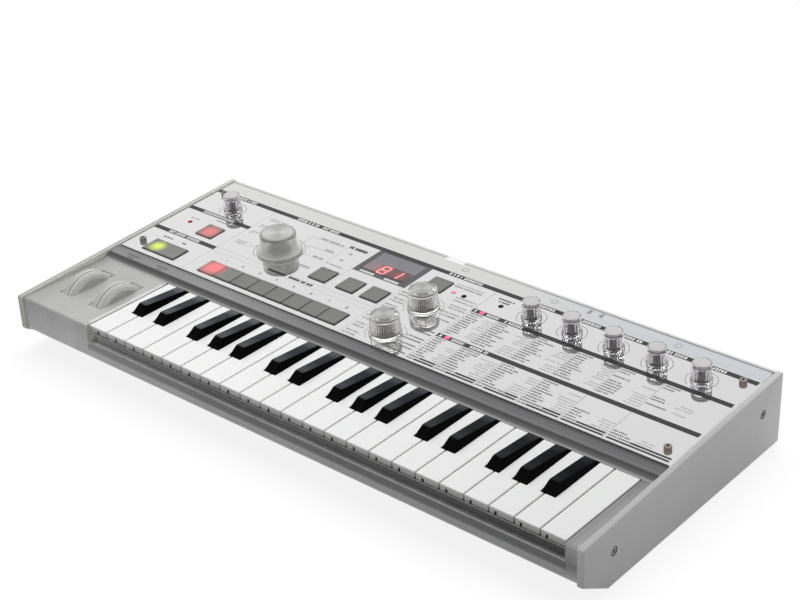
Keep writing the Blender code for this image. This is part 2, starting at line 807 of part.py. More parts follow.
def make_white_key(index):
    left, right, narrow_left, narrow_right = white_edges(index)
    notch_y = black_front_y - black_front_gap
    rear_y = pivot_y + pivot_radius + overlap
    outline = [(left, 0), (right, 0), (right, notch_y), (narrow_right, notch_y),
               (narrow_right, rear_y), (narrow_left, rear_y), (narrow_left, notch_y), (left, notch_y)]
    outline = [point for place, point in enumerate(outline) if point != outline[place - 1]]
    if narrow_right == right:
        outline.remove((right, notch_y))
    if narrow_left == left:
        outline.remove((left, notch_y))
    name = f"white_key_{index + 1:02d}"
    key = plan_prism(name, outline, pivot_height - 3 * pivot_radius, key_top + overlap)
    side = side_prism("side", white_side_outline(), left - overlap, right + overlap)
    boolean(key, side, "INTERSECT")
    return finish(key, "ivory_white", origin=pivot)


def black_side_outline():
    bottom, top = key_top - key_deep, key_top
    arm_top = key_top - black_arm_drop
    nose_y = black_front_y + black_nose_depth
    points = [(black_front_y, bottom)]
    points += arc_points(pivot_segments, math.pi, 2 * math.pi)
    points += [(pivot_y + pivot_radius, top - key_plate), (pivot_y - key_rear_slope, arm_top),
               (lip_start_y + black_tail_slope, arm_top), (lip_start_y, top + black_tail_rise),
               (nose_y, top + black_front_rise),
               (black_front_y + black_foot_depth, top + black_foot_height),
               (black_front_y, top + black_arm_drop)]
    return points


def make_black_key(index, octave_degree):
    centre = white_left + (index + 1) * white_pitch + black_shift[octave_degree]
    half = black_width / 2
    name = f"black_key_{index + 1:02d}"
    key = side_prism(name, black_side_outline(), centre - half, centre + half)
    narrow = base + key_top + black_arm_drop
    reach = black_front_rise
    for vertex in key.data.vertices:
        rise = max(0.0, vertex.co.z - narrow) / reach
        share = 1 - (1 - black_top_share) * rise
        vertex.co.x = centre + (vertex.co.x - centre) * share
    return finish(key, "gloss_black", origin=pivot)


def make_keys():
    for index in range(white_count):
        make_white_key(index)
    for index in range(white_count - 1):
        degree = index % 7
        if degree in black_shift:
            make_black_key(index, degree)


def button_body(name, x, y, size_x, size_y):
    # Cap with a flange under the case plate and a stem towards its switch
    flange_top = -plate_bottom - gap
    cap = panel_box(name, x, y, size_x, size_y, flange_top - flange_thick / 2, button_rise)
    join(cap, panel_box("flange", x, y, size_x + 2 * flange_wide, size_y + 2 * flange_wide,
                        flange_top - flange_thick, flange_top))
    return cap


def add_stem(cap, x, y):
    return join(cap, panel_box("stem", x, y, stem_side, stem_side, -stem_drop, -plate_bottom - overlap))


def make_buttons():
    single = (("arpeggiator_button", panel_place(arpeggio_across, arpeggio_along)),
              ("timbre_button", panel_place(timbre_across, timbre_along)))
    for name, (x, y) in single:
        cap = add_stem(button_body(name, x, y, button_side, button_side), x, y)
        finish(cap, "smoky_button", origin=on_panel(x, y), turn=(tilt, 0, 0))
    make_function_buttons()
    make_program_buttons()
    make_octave_rocker()


def make_function_buttons():
    # Three caps moulded on one strip
    strip = None
    places = function_places()
    for x, y in places:
        cap = add_stem(button_body("function_buttons", x, y, button_side, button_side), x, y)
        strip = cap if strip is None else join(strip, cap)
    left, right = places[0][0], places[-1][0]
    low = -plate_bottom - gap - flange_thick
    bar = panel_box("bar", (left + right) / 2, y, right - left, stem_side * 2, low, low + flange_thick)
    join(strip, bar)
    strip.name = "function_buttons"
    finish(strip, "smoky_button", origin=on_panel(0, y), turn=(tilt, 0, 0))


def make_program_buttons():
    # Eight caps moulded on one strip, with a groove between neighbours
    x, y = panel_place(program_row_across, program_row_along)
    strip = button_body("program_buttons", x, y, program_pitch * program_count, button_side)
    groove_depth = button_side + 2 * overlap
    for place, _ in program_places()[1:]:
        middle = place - program_pitch / 2
        cut(strip, panel_box("groove", middle, y, 2 * button_gap, groove_depth, -overlap,
                             button_rise + overlap))
    for place, _ in program_places():
        add_stem(strip, place, y)
    finish(strip, "smoky_button", origin=on_panel(x, y), turn=(tilt, 0, 0))


def make_octave_rocker():
    # One cap that rocks on a round ridge below its middle
    x, y = panel_place(octave_across, octave_along)
    axis = -octave_axis_drop
    rocker = panel_box("octave_shift_rocker", x, y, octave_width, button_side, -plate_bottom, button_rise)
    join(rocker, panel_box("web", x, y, 2 * octave_ridge, stem_side * 3, axis, -plate_bottom + overlap))
    turn = Euler((tilt, 0, 0)).to_matrix() @ Euler((math.pi / 2, 0, 0)).to_matrix()
    ridge = cylinder("ridge", octave_ridge, stem_side * 3, 14, on_panel(x, y, axis), turn.to_euler())
    join(rocker, ridge)
    finish(rocker, "smoky_button", origin=on_panel(x, y, axis), turn=(tilt, 0, 0))


def make_main_board():
    length = board_rear_y - board_front_y
    middle = (board_rear_y + board_front_y) / 2
    half = panel_half_width - board_side_inset
    top = -board_drop
    board = panel_box("main_board", 0, middle, 2 * half, length, top - board_thick, top)
    for name, x, y, size in knob_list():
        join(board, panel_box("pot", x, y, pot_side, pot_side + overlap, top - overlap, -pot_top_drop))
        join(board, panel_cylinder("bushing", x, y, bushing_radius, -pot_top_drop - overlap,
                                   -plate_bottom - gap, 16))
        join(board, panel_cylinder("shaft", x, y, shaft_radius, -plate_bottom - overlap, shaft_rise, 16))
    add_switches(board, top)
    window = panel_place(window_across, window_along)
    join(board, panel_box("display", *window, window_width, window_depth, top - overlap, -seat_drop - gap))
    add_sockets(board)
    return finish(board, "green_board")


def add_switches(board, top):
    # Push switch below each stem, and the post under the octave rocker
    reach = -stem_drop - button_travel - gap
    places = function_places() + program_places()
    places.append(panel_place(arpeggio_across, arpeggio_along))
    places.append(panel_place(timbre_across, timbre_along))
    for x, y in places:
        join(board, panel_box("switch", x, y, switch_side, switch_side, top - overlap, reach))
    x, y = panel_place(octave_across, octave_along)
    join(board, panel_box("post", x, y, switch_side, stem_side * 3, top - overlap,
                          -octave_axis_drop - octave_ridge - gap))


def add_sockets(board):
    # Socket bodies hang below the board's rear edge and reach into the rear wall
    turn = (math.pi / 2, 0, 0)
    face = shell_rear + nozzle_proud
    hang_y = front + board_rear_y - socket_body_depth
    inside = shell_rear - case_wall - gap
    roof = panel_height(board_rear_y) - board_drop - board_thick / 2
    middle = base + socket_height
    for x, radius, bore, sides in round_sockets():
        half = radius + overlap
        join(board, box("body", (x - half, hang_y, middle - half), (x + half, inside, roof)))
        reach = face - inside + overlap
        place = Vector((x, face - reach / 2, middle))
        join(board, cylinder("nozzle", radius, reach, sides, place, turn))
        cut(board, cylinder("bore", bore, 2 * socket_bore_depth, sides, Vector((x, face, middle)), turn))
    half = power_half
    for x in square_sockets():
        join(board, box("body", (x - half, hang_y, middle - half), (x + half, face, middle + half)))
        join(board, box("neck", (x - half, hang_y, middle), (x + half, inside, roof)))
    mouth = Vector((inlet_place * panel_half_width, face, middle))
    cut(board, cylinder("bore", jack_bore, 2 * socket_bore_depth, 16, mouth, turn))


def build():
    make_bottom_case()
    make_top_case()
    make_cheek("left_cheek", -1)
    make_cheek("right_cheek", 1)
    make_control_panel()
    make_key_frame()
    make_main_board()
    for name, x in wheel_centres().items():
        make_wheel(name, x)
    for name, x, y, size in knob_list():
        make_knob(name, x, y, size)
    make_keys()
    make_buttons()


build()
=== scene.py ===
import math
import bmesh
import bpy
import numpy as np
from mathutils import Matrix, Vector


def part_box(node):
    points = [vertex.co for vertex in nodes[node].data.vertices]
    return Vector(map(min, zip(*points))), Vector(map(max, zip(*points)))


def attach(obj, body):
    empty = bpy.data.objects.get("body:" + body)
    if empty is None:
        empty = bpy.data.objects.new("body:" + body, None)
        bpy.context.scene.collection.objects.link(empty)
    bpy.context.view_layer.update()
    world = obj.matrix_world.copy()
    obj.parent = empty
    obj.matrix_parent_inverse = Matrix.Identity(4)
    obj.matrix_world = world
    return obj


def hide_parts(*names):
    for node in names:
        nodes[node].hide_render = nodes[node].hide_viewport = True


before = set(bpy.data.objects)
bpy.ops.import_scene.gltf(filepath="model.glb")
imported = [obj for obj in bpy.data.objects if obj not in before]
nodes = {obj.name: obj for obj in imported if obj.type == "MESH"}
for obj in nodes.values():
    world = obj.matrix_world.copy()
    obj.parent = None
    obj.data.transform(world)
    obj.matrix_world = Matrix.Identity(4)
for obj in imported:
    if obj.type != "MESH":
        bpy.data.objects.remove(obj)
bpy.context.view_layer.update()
print("frame loaded:", len(nodes), "CAD nodes")

# Lengths below are in millimetres: x to the right, y from the front edge of the cheeks, z from the table
mm = 0.001
frontEdge = -116
panel = {"heightAtFront": 44.7, "slope": 0.0478448, "front": 100.5, "rear": 229, "halfWidth": 256}
tilt = math.atan(panel["slope"])
rng = np.random.default_rng(37)


# ---- helpers for surfaces ----

def toWorld(points):
    # Millimetres from the front edge and the table, into the frame's metres
    return (np.asarray(points, float) + (0, frontEdge, 0)) * mm


def onPanel(points, across=0.0, along=0.0):
    # Local x, y and height over the panel's face, turned about x by the panel's tilt
    points = np.asarray(points, float)
    y = along + points[..., 1] * math.cos(tilt) - points[..., 2] * math.sin(tilt)
    z = points[..., 1] * math.sin(tilt) + points[..., 2] * math.cos(tilt)
    z = z + panel["heightAtFront"] + panel["slope"] * np.asarray(along)
    return toWorld(np.stack([across + points[..., 0], y, z], -1))


def gridFaces(rows, columns, closeRows, closeColumns, start):
    # Quads between neighbouring grid points; a closed direction joins its last line to its first
    r = np.arange(rows if closeRows else rows - 1)
    c = np.arange(columns if closeColumns else columns - 1)
    r, c = np.meshgrid(r, c, indexing="ij")
    r2, c2 = (r + 1) % rows, (c + 1) % columns
    quads = np.stack([r * columns + c, r * columns + c2, r2 * columns + c2, r2 * columns + c], -1)
    return (quads.reshape(-1, 4) + start).tolist()


def surface(points, closeRows=False, closeColumns=True, capFirst=False, capLast=False, slot=0):
    # One grid of points with its closing flags, end caps and material number
    return {"points": points, "close": (closeRows, closeColumns), "caps": (capFirst, capLast), "slot": slot}


def makePiece(name, surfaces, materials, rideOn="case", sharp=35):
    # Joins the grids into one mesh, turns its faces outwards and puts it on its body; end caps stay flat
    vertices, faces, slots, soft, start = [], [], [], [], 0
    for part in surfaces:
        rows, columns = part["points"].shape[:2]
        quads, ends = gridFaces(rows, columns, *part["close"], start), []
        if part["caps"][0]:
            ends.append(list(range(start + columns - 1, start - 1, -1)))
        if part["caps"][1]:
            ends.append(list(range(start + (rows - 1) * columns, start + rows * columns)))
        faces += quads + ends
        slots += [part["slot"]] * (len(quads) + len(ends))
        soft += [True] * len(quads) + [False] * len(ends)
        vertices.append(part["points"].reshape(-1, 3))
        start += rows * columns
    mesh = bpy.data.meshes.new(name)
    mesh.from_pydata(np.concatenate(vertices).tolist(), [], faces)
    for material in materials:
        mesh.materials.append(material)
    mesh.polygons.foreach_set("material_index", slots)
    mesh.polygons.foreach_set("use_smooth", soft)
    clean = bmesh.new()
    clean.from_mesh(mesh)
    bmesh.ops.remove_doubles(clean, verts=clean.verts, dist=1e-7)
    bmesh.ops.recalc_face_normals(clean, faces=clean.faces)
    clean.to_mesh(mesh)
    clean.free()
    soft = np.ones(len(mesh.polygons), bool)
    mesh.polygons.foreach_get("use_smooth", soft)
    mesh.set_sharp_from_angle(angle=math.radians(sharp))
    mesh.polygons.foreach_set("use_smooth", soft)
    piece = bpy.data.objects.new(name, mesh)
    bpy.context.scene.collection.objects.link(piece)
    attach(piece, rideOn)
    return piece


def insetOutline(outline, inset):
    # Each corner moves inwards along the bisector of its two sides
    following = np.roll(outline, -1, 0) - outline
    sideNormal = np.stack([-following[:, 1], following[:, 0]], -1)
    sideNormal /= np.linalg.norm(sideNormal, axis=1, keepdims=True)
    previous = np.roll(sideNormal, 1, 0)
    together = 1 + (sideNormal * previous).sum(1, keepdims=True)
    return outline + inset * (sideNormal + previous) / together


def roundedCorners(corners, radius, steps=4):
    # Anticlockwise outline whose corners become arcs; a radius of 0 keeps the corner
    result = []
    for index, corner in enumerate(corners):
        r = radius[index] if hasattr(radius, "__len__") else radius
        here = np.asarray(corner, float)
        if r == 0:
            result.append(here[None])
            continue
        before = np.asarray(corners[index - 1], float) - here
        after = np.asarray(corners[(index + 1) % len(corners)], float) - here
        before, after = before / np.linalg.norm(before), after / np.linalg.norm(after)
        half = math.acos(np.clip(before @ after, -1, 1)) / 2
        first, last = here + before * r / math.tan(half), here + after * r / math.tan(half)
        t = np.linspace(0, 1, steps + 1)[:, None]
        arc = first * (1 - t) ** 2 + 2 * here * t * (1 - t) + last * t ** 2
        result.append(arc)
    return np.concatenate(result)


def slab(outline, levels):
    # Stack of one outline: each level is a height and how far the outline is drawn in there
    layers = [np.column_stack([insetOutline(outline, inset), np.full(len(outline), height)])
              for height, inset in levels]
    return np.stack(layers)


def softLevels(low, high, edge, steps=4):
    # Levels of a slab whose upper rim is a quarter circle
    turn = np.linspace(0, math.pi / 2, steps + 1)
    return [(low, 0)] + [(high - edge + edge * math.sin(a), edge * (1 - math.cos(a))) for a in turn]


def rectangle(width, depth):
    return [(-width / 2, -depth / 2), (width / 2, -depth / 2), (width / 2, depth / 2), (-width / 2, depth / 2)]


def lathe(profile, sides, ripple=None):
    # Profile of radius and height turned about z; ripple gives a radius factor for angle and height
    profile = np.asarray(profile, float)
    turn = np.linspace(0, 2 * math.pi, sides, endpoint=False)
    radius = np.repeat(profile[:, :1], sides, 1)
    height = np.repeat(profile[:, 1:], sides, 1)
    if ripple is not None:
        radius = radius * ripple(turn[None], height)
    return np.stack([radius * np.cos(turn), radius * np.sin(turn), height], -1)


# ---- helpers for materials ----

def nodeGroup(name, inputs, outputs):
    group = bpy.data.node_groups.new(name, "ShaderNodeTree")
    for socketName, kind, value in inputs:
        socket = group.interface.new_socket(socketName, in_out="INPUT", socket_type=kind)
        if value is not None:
            socket.default_value = value
    for socketName, kind in outputs:
        group.interface.new_socket(socketName, in_out="OUTPUT", socket_type=kind)
    return group, group.nodes.new("NodeGroupInput"), group.nodes.new("NodeGroupOutput")


def addNode(tree, kind, **settings):
    # Makes a node, sets its properties, its socket values, and its incoming links
    node = tree.nodes.new(kind)
    for key, value in settings.items():
        if key.startswith("in_"):
            socket = node.inputs[int(key[3:])] if key[3:].isdigit() else node.inputs[key[3:].replace("_", " ")]
            if isinstance(value, bpy.types.NodeSocket):
                tree.links.new(value, socket)
            else:
                socket.default_value = value
        else:
            setattr(node, key, value)
    return node


def mathNode(tree, operation, *values, clamp=False):
    node = tree.nodes.new("ShaderNodeMath")
    node.operation = operation
    node.use_clamp = clamp
    for socket, value in zip(node.inputs, values):
        if isinstance(value, bpy.types.NodeSocket):
            tree.links.new(value, socket)
        else:
            socket.default_value = value
    return node.outputs[0]


def mixColors(tree, factor, first, second, blend="MIX"):
    node = tree.nodes.new("ShaderNodeMix")
    node.data_type = "RGBA"
    node.blend_type = blend
    for socket, value in ((node.inputs[0], factor), (node.inputs[6], first), (node.inputs[7], second)):
        if isinstance(value, bpy.types.NodeSocket):
            tree.links.new(value, socket)
        else:
            socket.default_value = value if not isinstance(value, tuple) or len(value) == 4 else (*value, 1)
    return node.outputs[2]


def toneRamp(tree, value, stops):
    # Colour that follows a value through the given stops; a single number stands for a grey
    low, high = stops[0][0], stops[-1][0]
    share = addNode(tree, "ShaderNodeMapRange", in_0=value, in_1=low, in_2=high)
    ramp = tree.nodes.new("ShaderNodeValToRGB")
    elements = ramp.color_ramp.elements
    elements.remove(elements[1])
    for index, (place, tone) in enumerate(stops):
        element = elements.new((place - low) / (high - low)) if index else elements[0]
        element.color = (*tone, 1) if isinstance(tone, tuple) else (tone, tone, tone, 1)
    tree.links.new(share.outputs[0], ramp.inputs[0])
    return ramp.outputs[0]


def zone(tree, *bands):
    # 1 where every value lies in its band: each band is a value, its low and high end, and the softness
    mask = None
    for value, low, high, soft in bands:
        band = useGroup(tree, bandGroup, Value=value, Low=low, High=high, Soft=soft).outputs[0]
        mask = band if mask is None else mathNode(tree, "MULTIPLY", mask, band)
    return mask


def makeGrain():
    # Fine moulded grain: a height for Bump, and a shade that wanders slightly around 1
    tree, entry, leave = nodeGroup("mouldedGrain", [("Vector", "NodeSocketVector", None),
                                                    ("Scale", "NodeSocketFloat", 900.0),
                                                    ("Drift", "NodeSocketFloat", 0.04)],
                                   [("Height", "NodeSocketFloat"), ("Shade", "NodeSocketFloat")])
    fine = addNode(tree, "ShaderNodeTexNoise", in_Vector=entry.outputs[0], in_Scale=entry.outputs[1],
                   in_Detail=3.0, in_Roughness=0.6)
    wide = addNode(tree, "ShaderNodeTexNoise", in_Vector=entry.outputs[0], in_Scale=22.0, in_Detail=2.0)
    swing = mathNode(tree, "MULTIPLY", mathNode(tree, "SUBTRACT", wide.outputs[0], 0.5), entry.outputs[2])
    tree.links.new(fine.outputs[0], leave.inputs[0])
    tree.links.new(mathNode(tree, "ADD", swing, 1.0), leave.inputs[1])
    return tree


def makeSmudges():
    # Handling marks: cloudy patches that lift the roughness a little
    tree, entry, leave = nodeGroup("handlingSmudges", [("Vector", "NodeSocketVector", None),
                                                       ("Clean", "NodeSocketFloat", 0.1),
                                                       ("Smudged", "NodeSocketFloat", 0.2)],
                                   [("Roughness", "NodeSocketFloat")])
    cloud = addNode(tree, "ShaderNodeTexNoise", in_Vector=entry.outputs[0], in_Scale=35.0, in_Detail=4.0,
                    in_Roughness=0.65, in_Distortion=0.6)
    spread = addNode(tree, "ShaderNodeMapRange", in_0=cloud.outputs[0], in_1=0.35, in_2=0.75,
                     in_3=entry.outputs[1], in_4=entry.outputs[2])
    tree.links.new(spread.outputs[0], leave.inputs[0])
    return tree


def makeBand():
    # 1 between two values of one coordinate, with soft sides
    tree, entry, leave = nodeGroup("softBand", [("Value", "NodeSocketFloat", 0.0), ("Low", "NodeSocketFloat", 0.0),
                                                ("High", "NodeSocketFloat", 1.0), ("Soft", "NodeSocketFloat", 0.001)],
                                   [("Mask", "NodeSocketFloat")])
    value, low, high, soft = entry.outputs[:4]
    rise = mathNode(tree, "DIVIDE", mathNode(tree, "SUBTRACT", value, low), soft, clamp=True)
    fall = mathNode(tree, "DIVIDE", mathNode(tree, "SUBTRACT", high, value), soft, clamp=True)
    tree.links.new(mathNode(tree, "MULTIPLY", rise, fall), leave.inputs[0])
    return tree


def makeGlow():
    # Soft round glow about a centre: 1 in the middle, 0 from the radius on
    tree, entry, leave = nodeGroup("lampGlow", [("Vector", "NodeSocketVector", None),
                                                ("Centre", "NodeSocketVector", None),
                                                ("Radius", "NodeSocketFloat", 0.01)],
                                   [("Mask", "NodeSocketFloat")])
    away = addNode(tree, "ShaderNodeVectorMath", operation="DISTANCE", in_0=entry.outputs[0],
                   in_1=entry.outputs[1])
    share = mathNode(tree, "DIVIDE", away.outputs["Value"], entry.outputs[2])
    fade = addNode(tree, "ShaderNodeMapRange", interpolation_type="SMOOTHERSTEP", in_0=share, in_1=0.0, in_2=1.0,
                   in_3=1.0, in_4=0.0)
    tree.links.new(fade.outputs[0], leave.inputs[0])
    return tree


grainGroup, smudgeGroup, bandGroup, glowGroup = makeGrain(), makeSmudges(), makeBand(), makeGlow()


def useGroup(tree, group, **values):
    node = addNode(tree, "ShaderNodeGroup", node_tree=group)
    for key, value in values.items():
        socket = node.inputs[key]
        if isinstance(value, bpy.types.NodeSocket):
            tree.links.new(value, socket)
        else:
            socket.default_value = value
    return node


def startMaterial(name, **values):
    # Material with a Principled shader whose constant values sit on its own sockets
    material = bpy.data.materials.new(name)
    material.use_nodes = True
    tree = material.node_tree
    shader = tree.nodes["Principled BSDF"]
    for key, value in values.items():
        value = (*value, 1) if isinstance(value, tuple) and len(value) == 3 else value
        shader.inputs[key.replace("_", " ")].default_value = value
    coords = tree.nodes.new("ShaderNodeTexCoord").outputs["Object"]
    return material, tree, shader, coords


def addGrain(tree, shader, coords, color, scale, drift, bump, distance=0.0002):
    # Grain on the base colour and in the bump
    grain = useGroup(tree, grainGroup, Vector=coords, Scale=scale, Drift=drift)
    tinted = mixColors(tree, 1.0, color, grain.outputs["Shade"], "MULTIPLY")
    tree.links.new(tinted, shader.inputs["Base Color"])
    relief = addNode(tree, "ShaderNodeBump", in_Strength=bump, in_Distance=distance,
                     in_Height=grain.outputs["Height"])
    tree.links.new(relief.outputs[0], shader.inputs["Normal"])
    return tinted


def addSmudges(tree, shader, coords, clean, smudged, socket="Roughness"):
    smudge = useGroup(tree, smudgeGroup, Vector=coords, Clean=clean, Smudged=smudged)
    tree.links.new(smudge.outputs[0], shader.inputs[socket])


def plainFinish(name, color, roughness, scale=900.0, drift=0.05, bump=0.15, smudged=None, **values):
    # Moulded or metal finish with grain and handling marks
    material, tree, shader, coords = startMaterial(name, **values)
    addGrain(tree, shader, coords, color, scale, drift, bump)
    addSmudges(tree, shader, coords, roughness, smudged if smudged else roughness * 1.5)
    return material


def millimetres(tree, coords):
    # x, y from the front edge, and z from the table, in millimetres
    split = addNode(tree, "ShaderNodeSeparateXYZ", in_0=coords)
    x = mathNode(tree, "MULTIPLY", split.outputs[0], 1000.0)
    y = mathNode(tree, "MULTIPLY_ADD", split.outputs[1], 1000.0, -frontEdge)
    z = mathNode(tree, "MULTIPLY", split.outputs[2], 1000.0)
    return x, y, z


# ---- finishes ----

def cheekPaint():
    material, tree, shader, coords = startMaterial("silverCheekPaint", Metallic=0.35, Coat_Weight=0.25,
                                                   Coat_Roughness=0.15)
    flake = addNode(tree, "ShaderNodeTexVoronoi", in_Vector=coords, in_Scale=2600.0)
    sparkle = addNode(tree, "ShaderNodeMapRange", in_0=flake.outputs["Distance"], in_1=0.0, in_2=0.9,
                      in_3=1.06, in_4=0.94)
    x, y, z = millimetres(tree, coords)
    # Painted light: darker at the front of the cheek, lighter towards the rear
    shadedPaint = toneRamp(tree, y, ((0, 0.41), (60, 0.45), (150, 0.465), (200, 0.52), (232, 0.59)))
    share = mathNode(tree, "DIVIDE", mathNode(tree, "SUBTRACT", z, 1.5), mathNode(tree, "MULTIPLY_ADD", y, 0.0478, 44.2))
    # Painted light by height on the side: darker low down, a painted highlight just under the top edge, left out from
    # 195 mm back
    rise = toneRamp(tree, share, ((0, 0.83), (0.1, 0.87), (0.3, 0.93), (0.55, 0.98), (0.75, 1.0), (0.9, 1.06),
                                  (0.98, 1.08), (1.0, 0.98)))
    rise = mixColors(tree, zone(tree, (y, 195.0, 400.0, 20.0)), rise, (1.0, 1.0, 1.0))
    shadedPaint = mixColors(tree, 1.0, shadedPaint, rise, "MULTIPLY")
    color = mixColors(tree, 1.0, shadedPaint, sparkle.outputs[0], "MULTIPLY")
    addGrain(tree, shader, coords, color, 1400.0, 0.05, 0.12)
    addSmudges(tree, shader, coords, 0.34, 0.42)
    return material


# Colours of the lip against the distance behind the front edge, with painted highlight and shade in them: lightest from
# 90.6 to 91.4, darkest from 88.4 to 89.0 and towards 100.6
lipShadedTones = ((84.3, 0.35), (84.9, 0.26), (85.6, 0.14), (86.3, 0.105), (87.0, 0.1), (87.7, 0.075),
            (88.4, (0.053, 0.05, 0.048)), (89.0, (0.055, 0.053, 0.051)), (89.5, 0.07), (90.1, 0.13), (90.6, 0.168),
            (91.4, 0.16), (92.2, (0.137, 0.137, 0.14)), (93.5, (0.124, 0.124, 0.131)),
            (96.6, (0.112, 0.113, 0.12)), (97.4, 0.087), (98.3, 0.063), (99.3, 0.05), (100.1, 0.03), (100.6, 0.015))
# Painted light added to the lip from 89.3 mm back, more towards the left end
lipLightLift = ((-257, 0.13), (-150, 0.14), (-75, 0.08), (0, 0.03), (100, 0.008), (257, 0.0))

# Greys of the smoky case against the height over the table, for each part of its front; several of them are painted
# light and shade, as noted below
caseShadedTones = {
    "plain": ((0, 0.42), (43, 0.45)),
    "leftBlock": ((14, 0.72), (17, 0.80), (24, 0.86), (30, 0.80), (38, 0.68), (42.5, 0.64), (44.5, 0.43)),
    "rightBlock": ((14, 0.62), (17, 0.66), (21, 0.62), (25, 0.38), (30, 0.20), (33, 0.31), (38, 0.41), (42.5, 0.50),
                   (44.5, 0.43)),
    # Nose band: painted highlight along its top rim from 31.0 up, painted shade in the dark band below it from 25.2 to
    # 31.0
    "noseBand": ((14, 0.46), (16, 0.50), (20.5, (0.61, 0.61, 0.60)), (24.2, (0.65, 0.66, 0.67)),
                 (25.2, (0.32, 0.33, 0.34)), (26.3, (0.14, 0.143, 0.15)), (27.0, 0.115), (30.6, (0.13, 0.133, 0.138)),
                 (31.0, 0.17), (31.4, 0.40), (31.9, 0.45)),
    # Trough under the keys: painted shade, darkened further towards the right by its gain and lifted by painted light
    # near the open left end
    "trough": ((31.9, 0.36), (33.5, 0.33), (34.6, 0.27), (35.6, 0.18), (36.6, 0.22), (38.2, 0.27), (43, 0.27)),
    "troughGain": ((-257, 1.0), (-50, 1.0), (50, 0.93), (150, 0.7), (230, 0.5), (257, 0.5)),
    "troughLift": ((-185, 0.75), (-180, 0.5), (-172, 0.22), (-150, 0.12), (-100, 0.06), (-50, 0.02), (0, 0.0)),
    # Band gain and lift: painted shade towards the right, painted light near the left end
    "bandGain": ((-257, 1.0), (0, 1.0), (100, 0.9), (230, 0.82), (257, 0.82)),
    "bandLift": ((-185, 0.27), (-172, 0.22), (-150, 0.17), (-100, 0.1), (-50, 0.04), (0, 0.01), (60, 0.0)),
    "leftGain": ((-257, 0.86), (-246, 0.9), (-236, 0.95), (-220, 1.05), (-206, 1.14), (-197, 1.02), (-184, 1.0)),
    # Painted light inside the wheel slots, and a painted highlight on the nose's top edge line
    "slotInside": 0.85, "besideKeys": 0.7, "edgeLine": 0.6,
    # Deck greys, darker next to the left cheek as painted shade
    "deck": ((-257, 0.33), (-246, 0.37), (-232, 0.42), (-200, 0.45), (257, 0.46)),
    "rightDeck": ((247, 0.20), (247.6, 0.235), (250.5, 0.205), (252, 0.25), (254.3, 0.24), (255.3, 0.26),
                  (256.6, 0.36)),
    "rightDeckGain": ((0, 1.08), (20, 1.0), (62, 0.95), (84, 0.72))}


